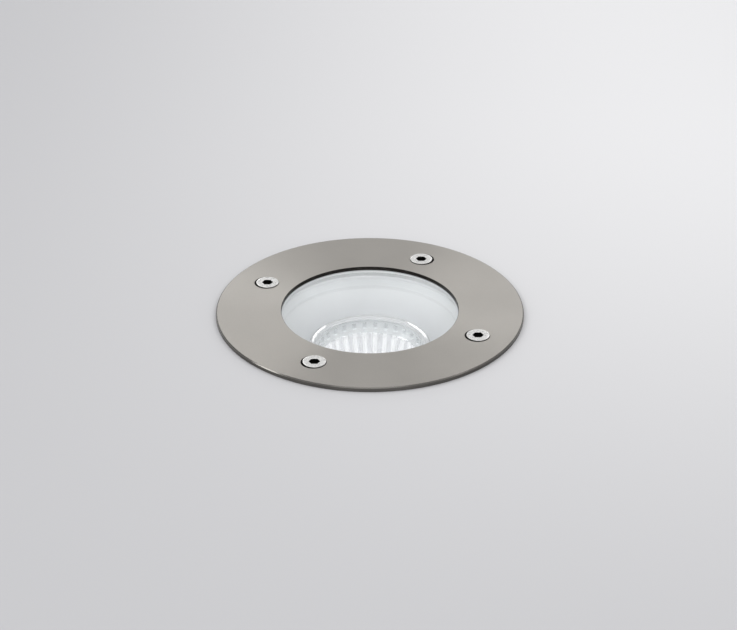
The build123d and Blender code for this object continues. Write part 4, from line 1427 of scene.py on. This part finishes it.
@dataclass
class Holder(Assembly):
    """The ceramic lamp holder with its contacts, screws and bracket."""

    steatite: Finish = Ceramic()
    bronze: Finish = BrightSteel(tone=(0.62, 0.40, 0.18), dark_tone=(0.50, 0.31, 0.13))
    zinc: Finish = ZINC

    def build(self) -> None:
        """Dresses the holder's solids."""
        self.dress(self.steatite, "lamp_holder")
        self.dress(self.bronze, "holder_contacts")
        self.dress(self.zinc, "holder_bracket", "holder_screws", "bracket_screws")


@dataclass
class Housing(Assembly):
    """The die-cast cup and the plastic sleeve that it stands in."""

    cast: Finish = CastMetal()
    black: Finish = MouldedPlastic()

    def build(self) -> None:
        """Dresses the cup and the sleeve."""
        self.dress(self.cast, "lamp_housing")
        self.dress(self.black, "ground_sleeve")


@dataclass
class Wiring(Assembly):
    """The terminal block, the leads and the earth terminal."""

    ivory: Finish = MouldedPlastic(tone=(0.62, 0.62, 0.58), worn_tone=(0.55, 0.55, 0.50))
    brass: Finish = BrightSteel(tone=(0.72, 0.52, 0.22), dark_tone=(0.60, 0.42, 0.16))
    zinc: Finish = ZINC
    brown: Finish = StripedSkin()
    blue: Finish = StripedSkin(tone=(0.02, 0.05, 0.30), stripe_tone=(0.02, 0.05, 0.30))
    green_yellow: Finish = StripedSkin(tone=(0.06, 0.25, 0.04), stripe_tone=(0.75, 0.62, 0.03))

    def build(self) -> None:
        """Dresses the wiring."""
        self.dress(self.ivory, "terminal_block")
        self.dress(self.brass, "terminal_inserts", "earth_tag")
        self.dress(self.zinc, "terminal_screws", "block_screws", "earth_screw")
        self.dress(self.brown, "live_lead")
        self.dress(self.blue, "neutral_lead")
        self.dress(self.green_yellow, "earth_lead")


@dataclass
class Gland(Assembly):
    """The cable gland in the cup's floor."""

    black: Finish = MouldedPlastic(
        tone=(0.018, 0.018, 0.02), worn_tone=(0.035, 0.035, 0.037), texture=2200.0
    )
    rubber: Finish = SoftRubber()

    def build(self) -> None:
        """Dresses the gland."""
        self.dress(self.black, "gland_body", "gland_nut", "gland_locknut")
        self.dress(self.rubber, "gland_seal", "gland_washer")


# --- Studio ------------------------------------------------------------------------


@dataclass(frozen=True)
class PaleFloor(Finish):
    """Pale matt floor with painted light that makes it lighter towards the far right, and clear
    from below.
    """

    tone: Colour = (0.555, 0.555, 0.568)
    # Painted light: the floor turns to this tone towards the far right.
    light_tone: Colour = (0.838, 0.838, 0.846)
    across: Pair = (-0.25, 0.17)
    away: Pair = (-0.34, 0.20)
    matt: float = 0.9
    gloss: float = 0.1

    def paint(self, g: Graph) -> None:
        """Painted light: one tone turns into the other by the product of a step to the right and a
        step away.

        Args:
            g: the material's nodes.
        """
        x, y, _ = g.split()
        painted_light_share = g.times(g.spread(x, *self.across), g.spread(y, *self.away))
        g.surface(
            Base_Color=g.blend(painted_light_share, self.tone, self.light_tone),
            Roughness=self.matt,
            Specular_IOR_Level=self.gloss,
        )
        g.shown(g.layered(g.back_side(), g.plain, g.clear((1.0, 1.0, 1.0))))


@dataclass(frozen=True)
class Glow:
    """A brighter part of the room: its level, and the steps along Y and Z whose product it is."""

    level: float
    depths: Pair
    heights: Pair


@dataclass(frozen=True)
class Panel:
    """A soft lamp: where it hangs, its width and height, and its power."""

    name: str
    place: Triple
    sides: Pair
    watts: float


@dataclass
class Studio:
    """A pale floor at ground level, a soft pale room, seven soft lamps and the camera."""

    frame_size: tuple[int, int] = (737, 630)
    ring_pixel: Pair = (369.9, 308.5)
    focal_pixels: float = 2311.0
    elevation: float = 29.16
    distance: float = 0.9394
    ring_top: float = 0.002
    sensor: float = 36.0
    clips: Pair = (0.01, 50.0)
    floor_reach: tuple[float, ...] = (0.0605, 0.066, 0.08, 0.15, 0.4, 1.5, 5.0)
    floor_columns: int = 96
    ground: Finish = PaleFloor()
    blueness: float = 1.01
    sky_level: float = 0.68
    glows: tuple[Glow, ...] = (
        Glow(0.76, (0.25, -0.25), (0.25, 0.6)),
        Glow(0.86, (0.0, -0.5), (0.35, 0.15)),
        Glow(0.84, (0.3, 0.75), (0.5, 0.2)),
    )
    panels: tuple[Panel, ...] = (
        Panel("front_panel", (0.0, -1.42, 0.98), (1.4, 1.4), 8.3),
        Panel("left_panel", (-1.30, 0.0, 1.17), (0.5, 0.5), 3.5),
        Panel("right_panel", (1.02, 0.0, 1.38), (0.5, 0.5), 2.1),
        Panel("back_left_panel", (-0.455, 1.216, 1.128), (0.3, 0.5), 0.85),
        Panel("back_right_panel", (0.48, 1.28, 1.01), (0.24, 0.52), 0.62),
        Panel("low_left_panel", (-0.42, 1.60, 0.40), (0.4, 0.4), 1.35),
        Panel("low_right_panel", (0.34, 1.61, 0.40), (0.4, 0.4), 0.65),
    )

    def camera(self) -> None:
        """Sets the camera so that the ring's middle falls on its pixel.

        The aim is the ring's middle, moved across the view by the pixels that it lies off the
        frame's middle.
        """
        tilt = math.radians(self.elevation)
        middle = Vector((0.0, 0.0, self.ring_top))
        back = Vector((0.0, -math.cos(tilt), math.sin(tilt)))
        up = Vector((0.0, math.sin(tilt), math.cos(tilt)))
        scale = self.distance / self.focal_pixels
        right_off = (self.ring_pixel[0] - self.frame_size[0] / 2) * scale
        up_off = (self.frame_size[1] / 2 - self.ring_pixel[1]) * scale
        aim = middle - Vector((right_off, 0.0, 0.0)) - up_off * up
        lens = bpy.data.cameras.new("camera")
        lens.sensor_width = self.sensor
        lens.lens = self.focal_pixels / self.frame_size[0] * self.sensor
        lens.clip_start, lens.clip_end = self.clips
        eye = linked("camera", lens)
        eye.location = middle + self.distance * back
        eye.rotation_euler = (aim - eye.location).to_track_quat("-Z", "Y").to_euler()
        bpy.context.scene.camera = eye

    def floor(self) -> None:
        """A flat floor round the light's hole, facing up, in circles that widen outwards."""
        reach = np.array(self.floor_reach)
        grid = turned(np.column_stack((reach, 0 * reach)), self.floor_columns)
        faces = grid_faces(*grid.shape[:2])[:, ::-1]
        mesh = bpy.data.meshes.new("floor")
        mesh.from_pydata(grid.reshape(-1, 3), [], faces.tolist())
        made = linked("floor", mesh)
        made.data.materials.append(self.ground.material("floor_finish"))

    def grey(self, level: float) -> Colour:
        """A grey of this level with a trace of blue."""
        return level, level, self.blueness * level

    def room(self) -> None:
        """A pale room, a little brighter high in front, low in front and low at the back."""
        world = bpy.data.worlds.new("room")
        bpy.context.scene.world = world
        world.use_nodes = True
        g = Nodes(world.node_tree, Space.DIRECTION)
        _, y, z = g.split()
        sky = self.grey(self.sky_level)
        for glow in self.glows:
            share = g.times(g.spread(y, *glow.depths), g.spread(z, *glow.heights))
            sky = g.blend(share, sky, self.grey(glow.level))
        g.feed(g.tree.nodes["Background"].inputs["Color"], sky)

    def lamp(self, panel: Panel) -> None:
        """Hangs a soft lamp that faces the light, with its width level.

        Args:
            panel: the lamp's place, sides and power.
        """
        data = bpy.data.lights.new(panel.name, "AREA")
        data.shape = "RECTANGLE"
        data.size, data.size_y = panel.sides
        data.energy = panel.watts
        made = linked(panel.name, data)
        made.location = panel.place
        made.rotation_euler = (-Vector(panel.place)).to_track_quat("-Z", "Y").to_euler()

    def build(self) -> None:
        """Sets up the whole studio and the view's colours."""
        bpy.context.scene.view_settings.view_transform = "Standard"
        self.camera()
        self.floor()
        self.room()
        for panel in self.panels:
            self.lamp(panel)
        log.info("studio ready")


def main() -> None:
    """Builds the studio and every assembly in order."""
    logging.basicConfig(level=logging.INFO, format="%(name)s: %(message)s")
    Studio().build()
    for assembly in (Cover(), Funnel(), ReflectorLamp(), Holder(), Housing(), Wiring(), Gland()):
        assembly.build()


if __name__ == "__main__":
    main()
